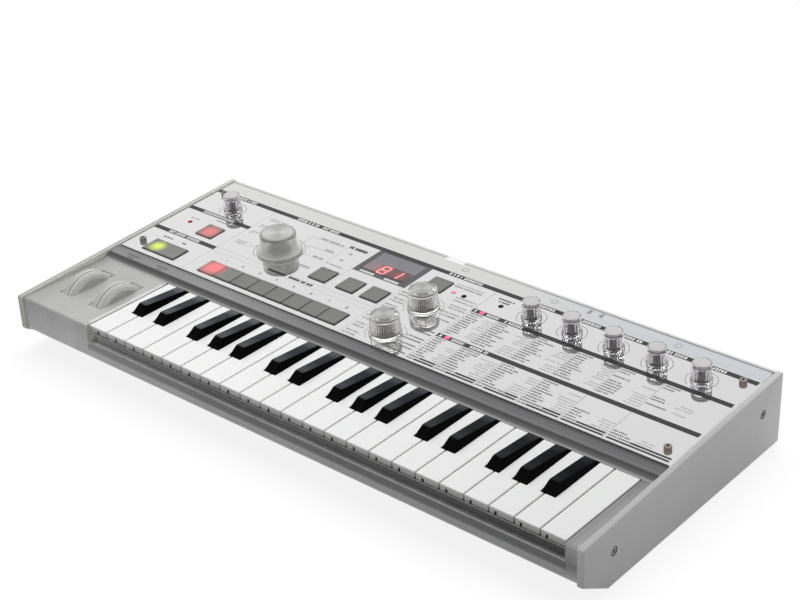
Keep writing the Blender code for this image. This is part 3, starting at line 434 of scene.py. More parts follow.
def caseSmoke():
    # Smoky clear plastic in soft darker and lighter bands, most of them painted light and shade, with a painted glow in
    # places
    material, tree, shader, coords = startMaterial("smokyCasePlastic", Coat_Weight=0.3, Coat_Roughness=0.12,
                                                   IOR=1.49)
    x, y, z = millimetres(tree, coords)
    cloudy = addNode(tree, "ShaderNodeTexNoise", in_Vector=coords, in_Scale=26.0, in_Detail=3.0)
    shade = addNode(tree, "ShaderNodeMapRange", in_0=cloudy.outputs[0], in_1=0.3, in_2=0.7, in_3=0.93, in_4=1.06)
    plain = toneRamp(tree, z, caseShadedTones["plain"])
    front = zone(tree, (y, -9.0, 8.0, 1.0))
    left, right = zone(tree, (x, -300.0, -184.6, 0.6)), zone(tree, (x, 248.0, 300.0, 0.8))
    band = mixColors(tree, 1.0, toneRamp(tree, z, caseShadedTones["noseBand"]), toneRamp(tree, x, caseShadedTones["bandGain"]),
                     "MULTIPLY")
    band = mixColors(tree, 1.0, band, toneRamp(tree, x, caseShadedTones["bandLift"]), "ADD")
    tone = mixColors(tree, front, plain, band)
    block = mixColors(tree, 1.0, toneRamp(tree, z, caseShadedTones["leftBlock"]), toneRamp(tree, x, caseShadedTones["leftGain"]),
                      "MULTIPLY")
    tone = mixColors(tree, mathNode(tree, "MULTIPLY", front, left), tone, block)
    tone = mixColors(tree, mathNode(tree, "MULTIPLY", front, right), tone,
                     toneRamp(tree, z, caseShadedTones["rightBlock"]))
    # Painted shade in the trough under the keys
    trough = zone(tree, (z, 31.6, 43.0, 0.3), (y, 3.8, 90.0, 0.2), (x, -184.2, 247.4, 0.3))
    troughShade = mixColors(tree, 1.0, toneRamp(tree, z, caseShadedTones["trough"]), toneRamp(tree, x, caseShadedTones["troughGain"]),
                     "MULTIPLY")
    troughShade = mixColors(tree, 1.0, troughShade, toneRamp(tree, x, caseShadedTones["troughLift"]), "ADD")
    tone = mixColors(tree, trough, tone, troughShade)
    # Painted light inside the wheel slots: a pale tone here and a glow below
    inside = zone(tree, (z, 20.0, 43.9, 0.2), (y, 9.0, 83.0, 0.5), (x, -256.0, -187.0, 0.5))
    tone = mixColors(tree, inside, tone, (caseShadedTones["slotInside"],) * 3)
    # Deck, with painted shade next to the left cheek
    deck = zone(tree, (z, 43.7, 80.0, 0.9), (y, -9.0, 84.4, 0.4))
    deckShaded = mixColors(tree, 1.0, toneRamp(tree, x, caseShadedTones["deck"]), (1.0, 1.0, 0.97), "MULTIPLY")
    tone = mixColors(tree, deck, tone, deckShaded)
    narrow = mixColors(tree, 1.0, toneRamp(tree, x, caseShadedTones["rightDeck"]), toneRamp(tree, y,
                       caseShadedTones["rightDeckGain"]), "MULTIPLY")
    tone = mixColors(tree, zone(tree, (z, 43.7, 80.0, 0.9), (y, 2.2, 84.4, 0.4), (x, 246.9, 300.0, 0.1)), tone, narrow)
    # Painted highlight along the nose's top edge
    edge = zone(tree, (z, 31.3, 32.6, 0.2), (y, -9.0, 3.1, 0.5), (x, -184.2, 247.4, 0.3))
    tone = mixColors(tree, edge, tone, mixColors(tree, 1.0, (caseShadedTones["edgeLine"],) * 3, toneRamp(tree, x, (
        (-184, 1.3), (-120, 1.1), (0, 1.0), (247, 1.0))), "MULTIPLY"))
    # Painted highlight down the left block's edge beside the keys, with a faint glow below
    sideEdgeHighlight = zone(tree, (x, -185.6, -183.5, 0.4), (y, -9.0, 9.0, 1.0), (z, 29.0, 44.0, 1.5))
    tone = mixColors(tree, sideEdgeHighlight, tone, (0.66, 0.66, 0.63))
    # Painted light: a lighter olive patch at the left end of the nose and trough
    corner = zone(tree, (x, -184.6, -176.0, 3.0), (z, 29.5, 36.0, 1.2), (y, -9.0, 9.0, 1.0))
    tone = mixColors(tree, corner, tone, (0.44, 0.47, 0.37))
    # Painted light in the shaded gap between the sheet and the right cheek: near-white, with a glow below
    besideSheetLight = zone(tree, (y, 100.4, 228.0, 0.2), (z, 42.0, 70.0, 0.5), (
        x, 255.7, 258.0, 0.1))
    tone = mixColors(tree, besideSheetLight, tone, (0.9, 0.9, 0.9))
    tone = mixColors(tree, zone(tree, (z, 44.8, 80.0, 0.1), (y, 84.0, 101.0, 0.4)), tone, toneRamp(tree, y, lipShadedTones))
    lighter = zone(tree, (x, -188.4, -183.0, 1.6), (z, 43.7, 50.0, 0.9), (y, 6.0, 82.0, 3.0))
    tone = mixColors(tree, lighter, tone, (caseShadedTones["besideKeys"],) * 3)
    tone = mixColors(tree, zone(tree, (z, 52.0, 80.0, 0.5), (y, 228.4, 240.0, 0.3)), tone, (0.68, 0.68, 0.67))
    # Near-white patch on the rear rim from x -26 to -8: painted light for the bright background seen through a notch
    tone = mixColors(tree, zone(tree, (x, -26.0, -8.0, 0.3), (z, 52.0, 80.0, 0.5), (y, 225.8, 240.0, 0.3)), tone,
                     (0.95, 0.95, 0.95))
    shaded = mixColors(tree, 1.0, tone, shade.outputs[0], "MULTIPLY")
    feet = zone(tree, (z, -5.0, 2.2, 0.1))
    shaded = mixColors(tree, feet, shaded, (0.03, 0.03, 0.03))
    addGrain(tree, shader, coords, shaded, 700.0, 0.04, 0.05)
    addSmudges(tree, shader, coords, 0.22, 0.34)
    # Painted glow: light painted onto the left block's side edge, into the wheel slots and beside the sheet
    shader.inputs["Emission Color"].default_value = (1, 1, 0.97, 1)
    glow = mathNode(tree, "MULTIPLY_ADD", sideEdgeHighlight, 0.05, mathNode(tree, "MULTIPLY", inside, 0.14))
    glow = mathNode(tree, "MULTIPLY_ADD", besideSheetLight, 0.2, glow)
    tree.links.new(glow, shader.inputs["Emission Strength"])
    return material


def panelMirror():
    # Mirror print under the clear sheet, with a clear strip along the rear
    material, tree, shader, coords = startMaterial("mirrorPanelSheet", IOR=1.49)
    x, y, z = millimetres(tree, coords)
    rear = zone(tree, (y, 213.2, 240.0, 0.3))
    cloud = addNode(tree, "ShaderNodeTexNoise", in_Vector=coords, in_Scale=9.0, in_Detail=2.0)
    drift = addNode(tree, "ShaderNodeMapRange", in_0=cloud.outputs[0], in_1=0.3, in_2=0.7, in_3=0.98, in_4=1.02)
    sheet = toneRamp(tree, x, ((-256, 0.75), (0, 0.72), (256, 0.68)))
    strip = toneRamp(tree, x, ((-256, (0.70, 0.70, 0.68)), (20, (0.66, 0.66, 0.64)), (110, (0.62, 0.63, 0.64)),
                               (256, (0.60, 0.61, 0.65))))
    tone = mixColors(tree, rear, sheet, strip)
    rim = zone(tree, (y, 227.3, 240.0, 0.4))
    rimTone = toneRamp(tree, x, ((-256, (0.47, 0.47, 0.46)), (40, (0.47, 0.47, 0.46)),
                                 (100, (0.30, 0.31, 0.33)), (256, (0.26, 0.27, 0.29))))
    tone = mixColors(tree, rim, tone, rimTone)
    # Near-white patch on the rear rim from x -26 to -8: painted light for the bright background seen through a notch
    tone = mixColors(tree, zone(tree, (x, -26.0, -8.0, 0.3), (y, 225.8, 240.0, 0.3)), tone, (0.95, 0.95, 0.95))
    tree.links.new(mixColors(tree, 1.0, tone, drift.outputs[0], "MULTIPLY"), shader.inputs["Base Color"])
    metal = addNode(tree, "ShaderNodeMapRange", in_0=rear, in_3=0.92, in_4=0.15)
    tree.links.new(metal.outputs[0], shader.inputs["Metallic"])
    addSmudges(tree, shader, coords, 0.035, 0.06)
    return material


def lipFinish():
    # Smoky plastic over the lip: soft lengthwise bands of painted highlight and shade, and painted light that lifts it
    # towards the left end
    material, tree, shader, coords = startMaterial("smokyLipPlastic", Coat_Weight=0.08, Coat_Roughness=0.15,
                                                   Specular_IOR_Level=0.25)
    x, y, z = millimetres(tree, coords)
    tone = toneRamp(tree, y, lipShadedTones)
    tone = mixColors(tree, zone(tree, (y, 89.3, 103.0, 1.5)), tone, mixColors(tree, 1.0, tone,
                                                                             toneRamp(tree, x, lipLightLift), "ADD"))
    wave = addNode(tree, "ShaderNodeTexNoise", in_Vector=coords, in_Scale=18.0, in_Detail=2.0)
    drift = addNode(tree, "ShaderNodeMapRange", in_0=wave.outputs[0], in_1=0.3, in_2=0.7, in_3=0.94, in_4=1.06)
    tone = mixColors(tree, 1.0, tone, drift.outputs[0], "MULTIPLY")
    addGrain(tree, shader, coords, tone, 800.0, 0.03, 0.04)
    addSmudges(tree, shader, coords, 0.26, 0.34)
    return material


def wheelSmoke(name, middle):
    # Light smoky plastic with painted light: paler on both sides of the wheel than on its tread, painted highlights on
    # the ridges beside the groove and painted shade in the groove, cloudy inside
    material, tree, shader, coords = startMaterial(name, Coat_Weight=0.35, Coat_Roughness=0.1)
    x, y, z = millimetres(tree, coords)
    tread = zone(tree, (x, middle - 6.0, middle + 6.0, 0.8))
    rise = toneRamp(tree, z, ((40, (0.62, 0.62, 0.605)), (50, (0.80, 0.80, 0.785)), (60, (0.74, 0.74, 0.73))))
    tone = mixColors(tree, tread, rise, (0.45, 0.45, 0.44))
    ridge = zone(tree, (x, middle - 2.6, middle + 2.6, 0.7))
    tone = mixColors(tree, ridge, tone, (0.62, 0.62, 0.61))
    groove = zone(tree, (x, middle - 1.1, middle + 1.1, 0.4))
    tone = mixColors(tree, groove, tone, (0.33, 0.33, 0.325))
    addGrain(tree, shader, coords, tone, 700.0, 0.06, 0.05)
    addSmudges(tree, shader, coords, 0.2, 0.3)
    # Painted glow low on the wheel, lightening the shade of its slot
    shader.inputs["Emission Color"].default_value = (1, 1, 0.97, 1)
    tree.links.new(toneRamp(tree, z, ((20, 0.2), (40, 0.13), (50, 0.03), (60, 0.0))), shader.inputs["Emission Strength"])
    return material


def keyFrameFinish():
    # Dark frame under the keys; the part under the wheels is painted pale and given a glow, painted light that lightens
    # the shaded wheel slots
    material, tree, shader, coords = startMaterial("keyFramePlastic")
    x, y, z = millimetres(tree, coords)
    light = zone(tree, (x, -300.0, -187.0, 0.5))
    tone = mixColors(tree, light, (0.05, 0.05, 0.05), (0.82, 0.82, 0.81))
    addGrain(tree, shader, coords, tone, 600.0, 0.08, 0.2)
    addSmudges(tree, shader, coords, 0.5, 0.65)
    # Painted glow under the wheels
    shader.inputs["Emission Color"].default_value = (1, 1, 0.97, 1)
    tree.links.new(mathNode(tree, "MULTIPLY", light, 0.14), shader.inputs["Emission Strength"])
    return material


def clearCap(name, tint, roughness, transmission, shine, edgeShine):
    # Clear or frosted plastic, with a painted glow that grows towards its edges in place of light gathered in a thick
    # frosted wall
    material, tree, shader, coords = startMaterial(name, Base_Color=tint, Metallic=0.0, IOR=1.47,
                                                   Transmission_Weight=transmission, Specular_IOR_Level=0.35,
                                                   Emission_Color=tint)
    addSmudges(tree, shader, coords, roughness, roughness + 0.06)
    facing = addNode(tree, "ShaderNodeLayerWeight", in_0=0.5).outputs["Facing"]
    glow = mathNode(tree, "MULTIPLY_ADD", mathNode(tree, "POWER", facing, 2.0), edgeShine, shine)
    tree.links.new(glow, shader.inputs["Emission Strength"])
    return material


def spunMetal(name, centre, tone):
    # Turned metal disc: fine rings, and painted reflection in soft fans around its middle
    material, tree, shader, coords = startMaterial(name, Metallic=0.5)
    offset = addNode(tree, "ShaderNodeVectorMath", operation="SUBTRACT", in_0=coords, in_1=centre)
    polar = addNode(tree, "ShaderNodeSeparateXYZ", in_0=offset.outputs[0])
    angle = mathNode(tree, "ARCTAN2", polar.outputs[1], polar.outputs[0])
    reflectionFan = mathNode(tree, "SINE", mathNode(tree, "MULTIPLY_ADD", angle, 2.0, 0.12))
    reflectionFan = mathNode(tree, "MULTIPLY_ADD", reflectionFan, 0.15, 0.85)
    color = mixColors(tree, 1.0, tone, reflectionFan, "MULTIPLY")
    away = addNode(tree, "ShaderNodeVectorMath", operation="LENGTH", in_0=offset.outputs[0])
    rings = mathNode(tree, "SINE", mathNode(tree, "MULTIPLY", away.outputs["Value"], 16000.0))
    relief = addNode(tree, "ShaderNodeBump", in_Strength=0.15, in_Distance=0.0001, in_Height=rings)
    tree.links.new(color, shader.inputs["Base Color"])
    tree.links.new(relief.outputs[0], shader.inputs["Normal"])
    addSmudges(tree, shader, coords, 0.34, 0.42)
    return material


def glowingPlastic(name, tone, glow, centre, radius, strength=1.0, roughness=0.25, gloss=0.3):
    # Smoky plastic with a lamp behind it: the lamp's glow spreads from a centre, and the base colour is tinted there as
    # painted light
    material, tree, shader, coords = startMaterial(name, Emission_Strength=strength, Coat_Weight=gloss,
                                                   Coat_Roughness=0.1, Specular_IOR_Level=0.1 + gloss)
    mask = useGroup(tree, glowGroup, Vector=coords, Centre=centre, Radius=radius).outputs[0]
    tree.links.new(mixColors(tree, mask, (0, 0, 0), glow), shader.inputs["Emission Color"])
    lampTinted = mixColors(tree, mathNode(tree, "MULTIPLY", mask, 0.85), tone, tuple(0.5 * c for c in glow))
    addGrain(tree, shader, coords, lampTinted, 800.0, 0.05, 0.08)
    addSmudges(tree, shader, coords, roughness, roughness + 0.08)
    return material


def whiteKeyFinish():
    # Glossy white plastic, greyed down the front of the key as painted shade, and darker towards the right as painted
    # shade
    material, tree, shader, coords = startMaterial("whiteKeyPlastic", Subsurface_Weight=0.05, Coat_Weight=0.2,
                                                   Coat_Roughness=0.15)
    x, y, z = millimetres(tree, coords)
    tone = toneRamp(tree, z, ((40.0, (0.44, 0.44, 0.43)), (43.9, (0.88, 0.868, 0.855)), (44.6, (0.89, 0.876, 0.864))))
    paintedLightAcross = addNode(tree, "ShaderNodeMapRange", in_0=x, in_1=-60.0, in_2=247.0, in_3=1.03, in_4=0.865)
    tone = mixColors(tree, 1.0, tone, paintedLightAcross.outputs[0], "MULTIPLY")
    addGrain(tree, shader, coords, tone, 1100.0, 0.02, 0.04)
    addSmudges(tree, shader, coords, 0.22, 0.33)
    return material


def blackKeyFinish():
    # Gloss black; the top line carries a painted sheen that changes from nose to tail and fades towards the right, the
    # sides stay black
    material, tree, shader, coords = startMaterial("blackKeyPlastic", Specular_IOR_Level=0.01)
    x, y, z = millimetres(tree, coords)
    level = mathNode(tree, "MULTIPLY_ADD", y, 0.0979, z)
    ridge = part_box("white_key_01")[1].z / mm + 10.38
    top = zone(tree, (level, ridge - 0.45, ridge + 9.0, 0.25))
    paintedSheen = toneRamp(tree, y, ((36, 0.004), (42, 0.018), (46, (0.024, 0.025, 0.028)), (60, (0.011, 0.012, 0.014)),
                               (72, (0.012, 0.013, 0.015)), (78, (0.03, 0.031, 0.034)), (80.5, (0.03, 0.031, 0.034)),
                               (81.3, 0.003)))
    paintedLightAcross = addNode(tree, "ShaderNodeMapRange", in_0=x, in_1=-120.0, in_2=230.0, in_3=4.0, in_4=0.35)
    paintedSheen = mixColors(tree, 1.0, paintedSheen, paintedLightAcross.outputs[0], "MULTIPLY")
    tone = mixColors(tree, top, (0.004, 0.004, 0.0043), paintedSheen)
    addGrain(tree, shader, coords, tone, 1300.0, 0.1, 0.03)
    addSmudges(tree, shader, coords, 0.2, 0.28)
    return material


def boardFinish():
    # Green board, with black sockets at the rear, metal shafts, and the dark display block
    material, tree, shader, coords = startMaterial("mainBoardFinish")
    x, y, z = millimetres(tree, coords)
    rear = useGroup(tree, bandGroup, Value=y, Low=204.0, High=300.0, Soft=0.1)
    tone = mixColors(tree, rear.outputs[0], (0.03, 0.09, 0.05), (0.02, 0.02, 0.02))
    high = mathNode(tree, "MULTIPLY_ADD", y, -panel["slope"], z)
    shafts = useGroup(tree, bandGroup, Value=high, Low=panel["heightAtFront"] - 3.5, High=99.0, Soft=0.1)
    tone = mixColors(tree, shafts.outputs[0], tone, (0.06, 0.06, 0.062))
    addGrain(tree, shader, coords, tone, 500.0, 0.1, 0.1)
    addSmudges(tree, shader, coords, 0.35, 0.5)
    return material


smokeTone = (0.172, 0.172, 0.16)
finishes = {
    "cheek": cheekPaint(),
    "case": caseSmoke(),
    "panel": panelMirror(),
    "lip": lipFinish(),
    "whiteKey": whiteKeyFinish(),
    "blackKey": blackKeyFinish(),
    "keyNotch": plainFinish("keyNotchShade", (0.006, 0.006, 0.006), 0.7, Specular_IOR_Level=0.1),
    "frame": keyFrameFinish(),
    "board": boardFinish(),
    "smallCap": clearCap("clearKnobCap", (0.86, 0.84, 0.86), 0.04, 0.94, 0.0, 0.03),
    "mediumCap": clearCap("clearMediumCap", (0.83, 0.82, 0.81), 0.08, 0.88, 0.01, 0.05),
    "frostedCap": clearCap("frostedDialCap", (0.82, 0.82, 0.79), 0.2, 0.64, 0.02, 0.14),
    "core": plainFinish("knobCore", (0.002, 0.002, 0.0023), 0.25, 600.0, 0.1, 0.2, Specular_IOR_Level=0.15),
    "knobTop": plainFinish("knobTopPlastic", (0.60, 0.59, 0.585), 0.4, 300.0, 0.2, 0.4, Specular_IOR_Level=0.3),
    "dialRim": plainFinish("dialRimGrey", (0.40, 0.40, 0.39), 0.3, 800.0, 0.05, 0.05, Specular_IOR_Level=0.3),
    "paleCore": plainFinish("dialCore", (0.07, 0.068, 0.058), 0.35, 600.0, 0.1, 0.2),
    "pointer": plainFinish("pointerMark", (0.02, 0.02, 0.02), 0.4),
    "button": plainFinish("smokyButtonPlastic", smokeTone, 0.3, 800.0, 0.06, 0.08, Specular_IOR_Level=0.4),
    # Light grey bead: a painted highlight on the rail's top edge
    "bead": plainFinish("railBeadPlastic", (0.75, 0.75, 0.73), 0.25, 800.0, 0.05, 0.05),
    "warmNickel": plainFinish("warmScrew", (0.33, 0.28, 0.24), 0.3, 1500.0, 0.1, 0.1, Metallic=0.7),
    "greyNickel": plainFinish("greyScrewRing", (0.26, 0.26, 0.25), 0.2, 1500.0, 0.1, 0.1, Metallic=0.7),
    "nickel": plainFinish("nickelScrew", (0.62, 0.61, 0.58), 0.22, 1500.0, 0.08, 0.1, Metallic=1.0),
    "darkNickel": plainFinish("shadedScrew", (0.025, 0.025, 0.022), 0.3, 1500.0, 0.2, 0.2, Metallic=0.3),
    "blackPlastic": plainFinish("blackSocketPlastic", (0.02, 0.02, 0.02), 0.4),
    # Pale inner face of the cheeks with a faint glow: painted light on their shaded inner side
    "cheekInside": plainFinish("cheekInnerFace", (0.88, 0.89, 0.80), 0.4, 900.0, 0.05, 0.1,
                               Emission_Color=(0.95, 1.0, 0.85), Emission_Strength=0.05),
    "inkDark": plainFinish("darkInk", (0.046, 0.046, 0.05), 0.2, 2000.0, 0.05, 0.0, Specular_IOR_Level=0.12),
    "inkBlack": plainFinish("blackInk", (0.018, 0.018, 0.019), 0.2, 2000.0, 0.05, 0.0, Specular_IOR_Level=0.1),
    "inkGrey": plainFinish("greyInk", (0.27, 0.27, 0.275), 0.2, 2000.0, 0.05, 0.0, Specular_IOR_Level=0.3),
    "inkText": plainFinish("textInk", (0.085, 0.085, 0.088), 0.2, 2000.0, 0.05, 0.0, Specular_IOR_Level=0.2),
    "inkRing": plainFinish("ringInk", (0.1, 0.1, 0.104), 0.2, 2000.0, 0.05, 0.0, Specular_IOR_Level=0.3),
    "inkPale": plainFinish("paleInk", (0.44, 0.44, 0.45), 0.2, 2000.0, 0.05, 0.0, Specular_IOR_Level=0.3),
    "inkWhite": plainFinish("whiteInk", (0.76, 0.76, 0.75), 0.2, 2000.0, 0.05, 0.0, Specular_IOR_Level=0.3),
    "rubber": plainFinish("footRubber", (0.025, 0.025, 0.025), 0.8, 1200.0, 0.1, 0.3),
    "brass": plainFinish("contactMetal", (0.75, 0.72, 0.66), 0.25, 1500.0, 0.08, 0.05, Metallic=1.0),
}


def setFinish(nodeNames, finish):
    for name in nodeNames:
        slots = nodes[name].material_slots
        for slot in slots:
            slot.material = finishes[finish]
        if not slots:
            nodes[name].data.materials.append(finishes[finish])


setFinish(["top_case", "bottom_case"], "case")
setFinish(["control_panel"], "panel")
setFinish(["key_frame"], "frame")
setFinish(["main_board"], "board")
print("finishes made:", len(finishes))


# ---- keys ----

whiteKeys = {"edge": 0.7, "frontCorner": 0.95, "sideCorner": 0.9, "besideBlack": 0.6, "notchWidth": 1.6, "notchHeight": 2.6,
             "frontHeight": 4.8, "plate": 2.5, "lipDepth": 1.6, "notchFirst": 10.1, "notchDrift": 0.235, "pitch": 19.568, "rowLeft": -183.7, "rearY": 96.5}
blackKeys = {"front": 36.3, "rear": 95.0, "footDepth": 1.4, "footRise": 1.0, "noseDepth": 6.4, "noseRise": 6.2,
             "tailY": 81.5, "tailRise": 2.4, "topShare": 0.68, "corner": 0.75, "stations": 72, "around": 40}


def keySpan(name):
    low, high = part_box(name)
    return low.x / mm, high.x / mm, low.y / mm - frontEdge, high.z / mm


def whiteKeyPiece(index):
    # Plan outline with room for the black keys, stacked upwards and drawn in along its upper rim,
    # with a lip hanging from its front edge so that a pressed key clears the rail
    name = f"white_key_{index + 1:02d}"
    left, right, front, top = keySpan(name)
    bottom, under = top - whiteKeys["frontHeight"], top - whiteKeys["plate"]
    notchY = blackKeys["front"] - whiteKeys["besideBlack"]
    blackLeft, blackRight = f"black_key_{index:02d}", f"black_key_{index + 1:02d}"
    corners = [(left, front), (right, front)]
    radius = [whiteKeys["frontCorner"], whiteKeys["frontCorner"]]
    if blackRight in nodes:
        narrow = keySpan(blackRight)[0] - whiteKeys["besideBlack"]
        corners += [(right, notchY), (narrow, notchY), (narrow, whiteKeys["rearY"])]
        radius += [whiteKeys["sideCorner"], 0.3, 0]
    else:
        corners.append((right, whiteKeys["rearY"]))
        radius.append(0)
    if blackLeft in nodes:
        narrow = keySpan(blackLeft)[1] + whiteKeys["besideBlack"]
        corners += [(narrow, whiteKeys["rearY"]), (narrow, notchY), (left, notchY)]
        radius += [0, 0.3, whiteKeys["sideCorner"]]
    else:
        corners.append((left, whiteKeys["rearY"]))
        radius.append(0)
    outline = roundedCorners(corners, radius)
    body = slab(outline, softLevels(under, top, whiteKeys["edge"]))
    lipRear = front + whiteKeys["lipDepth"]
    lipOutline = roundedCorners([(left, front), (right, front), (right, lipRear), (left, lipRear)],
                                [whiteKeys["frontCorner"], whiteKeys["frontCorner"], 0, 0])
    middle = whiteKeys["rowLeft"] + whiteKeys["pitch"] * index + whiteKeys["notchFirst"]
    middle -= whiteKeys["notchDrift"] * index
    mark = np.array(rectangle(whiteKeys["notchWidth"], 0.5)) + (middle, front + 0.2)
    notch = slab(mark, [(bottom, 0), (bottom + whiteKeys["notchHeight"], 0)])
    parts = [surface(toWorld(body), capFirst=True, capLast=True),
             surface(toWorld(slab(lipOutline, [(bottom, 0), (under, 0)])), capFirst=True, capLast=True),
             surface(toWorld(notch), capFirst=True, capLast=True, slot=1)]
    piece = makePiece("whiteKey" + name[-2:], parts, [finishes["whiteKey"], finishes["keyNotch"]], name)
    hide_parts(name)


def softMin(a, b, blend):
    # Smaller of two heights, rounded where they cross
    mix = np.clip(0.5 + 0.5 * (b - a) / blend, 0, 1)
    return b * (1 - mix) + a * mix - blend * mix * (1 - mix)


def blackKeyPiece(name):
    # Round-cornered trapezoid carried from front to rear, as high as the lower of nose slope, top line and tail
    low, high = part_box(name)
    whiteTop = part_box("white_key_01")[1].z / mm
    centre, half = (low.x + high.x) / 2 / mm, (high.x - low.x) / 2 / mm
    k = blackKeys
    y = np.concatenate([np.linspace(k["front"], k["front"] + 10, k["stations"] // 2, endpoint=False),
                        np.linspace(k["front"] + 10, k["rear"], k["stations"] // 2)])
    run = y - k["front"]
    foot = 0.3 + (k["footRise"] - 0.3) * np.clip(run / k["footDepth"], 0, 1)
    steep = (k["noseRise"] - k["footRise"]) / (k["noseDepth"] - k["footDepth"])
    nose = k["footRise"] + steep * (run - k["footDepth"])
    topLine = k["noseRise"] - (k["noseRise"] - k["tailRise"]) * (run - k["noseDepth"]) / (
        k["tailY"] - k["front"] - k["noseDepth"])
    tail = k["tailRise"] - (y - k["tailY"]) * 2.4
    rise = np.maximum(np.where(run < k["footDepth"], foot, nose), foot)
    rise = np.maximum(softMin(softMin(rise, topLine, 0.8), tail, 0.6), -0.3)
    sections = []
    for place, top in zip(y, rise):
        share = 1 - (1 - k["topShare"]) * np.clip((top - 0.3) / k["noseRise"], 0, 1)
        corners = [(-half, -5.3), (half, -5.3), (half, min(0.3, top - 0.2)), (half * share, top),
                   (-half * share, top), (-half, min(0.3, top - 0.2))]
        corner = min(k["corner"], 0.45 * (top + 0.6))
        outline = roundedCorners(corners, [0, 0, 0, corner, corner, 0], 6)
        sections.append(np.column_stack([centre + outline[:, 0], np.full(len(outline), place),
                                         whiteTop + outline[:, 1]]))
    parts = [surface(toWorld(np.stack(sections)), closeColumns=True, capFirst=True, capLast=True)]
    piece = makePiece("blackKey" + name[-2:], parts, [finishes["blackKey"]], name, sharp=50)
    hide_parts(name)


for keyIndex in range(22):
    whiteKeyPiece(keyIndex)
for nodeName in sorted(nodes):
    if nodeName.startswith("black_key"):
        blackKeyPiece(nodeName)
print("keys made")


# ---- wheels ----

wheel = {"radius": 24.4, "half": 6.2, "bore": 2.75, "shoulder": 2.2, "groove": 0.7, "sides": 96, "recess": 0.8}


def wheelPiece(name):
    # Rounded tread with a middle groove, and a shallow ring sunk into both sides, turned about x
    low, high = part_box(name)
    centre = (low + high) / 2
    w = wheel
    turn = np.linspace(0, math.pi / 2, 6)
    shoulder = [(w["radius"] - w["shoulder"] * (1 - math.sin(a)), w["half"] - w["shoulder"] * (1 - math.cos(a)))
                for a in turn]
    outer = shoulder + [(w["radius"], 1.5), (w["radius"] - 0.2, 1.0), (w["radius"] - w["groove"], 0.7)]
    face = [(w["bore"], w["half"]), (7, w["half"]), (7.6, w["half"] - w["recess"]),
            (w["radius"] - 4.6, w["half"] - w["recess"]), (w["radius"] - 4, w["half"])]
    right = face + outer
    profile = right + [(radius, -x) for radius, x in reversed(right)]
    points = lathe(profile, w["sides"])[..., [2, 0, 1]] * mm + np.array(centre)
    smoke = wheelSmoke("smoky" + name.replace("_w", "W").capitalize(), centre.x / mm)
    piece = makePiece(name.replace("_w", "W"), [surface(points, closeRows=True)], [smoke], name, 50)
    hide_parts(name)


for nodeName in ("pitch_wheel", "modulation_wheel"):
    wheelPiece(nodeName)
print("wheels made")


# ---- knobs ----

smallKnob = {"foot": 7.74, "flange": 0.6, "top": 7.0, "height": 13.9, "shoulder": 0.9, "disc": 5.8, "flutes": 18,
             "cut": 0.055, "sides": 180, "core": 2.6, "skirt": 4.6, "coreTop": 9.8, "wall": 1.1,
             "cap": "smallCap"}
mediumKnob = {"foot": 12.3, "flange": 1.0, "top": 10.9, "height": 15.7, "shoulder": 1.5, "disc": 7.3, "flutes": 36,
              "cut": 0.05, "sides": 216, "core": 4.6, "skirt": 8.8, "coreTop": 9.2, "wall": 1.6,
              "cap": "mediumCap"}
largeKnob = {"foot": 18.2, "top": 14.2, "height": 16.1, "shoulder": 1.5, "disc": 12.4, "core": 4.4, "coreTop": 3.4,
             "edgeLow": 1.7, "edgeHigh": 2.1, "flareTop": 6.6, "flare": 2.4, "teeth": 72, "sides": 288, "wall": 1.6}


def knobFrame(name):
    # Middle of the knob on the panel, from its CAD box
    low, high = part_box(name)
    along = (low.y + high.y) / 2 / mm - frontEdge
    centre = (low.x + high.x) / 2 / mm
    height = 7.0
    return centre, along + height * math.sin(tilt)


def quarterRound(radius, height, reach, steps=7):
    # From the wall inwards to the top: a quarter circle of the given reach
    return [(radius - reach * (1 - math.cos(a)), height - reach * (1 - math.sin(a)))
            for a in np.linspace(0, math.pi / 2, steps)]


def pointerStrip(profile, width, lift=0.07):
    # Thin strip laid over the profile where the knob points to the rear
    rows = [[(-width / 2, r + lift, h + lift * 0.5), (width / 2, r + lift, h + lift * 0.5),
             (width / 2, r - 0.2, h - 0.2), (-width / 2, r - 0.2, h - 0.2)] for r, h in profile]
    return np.array(rows)


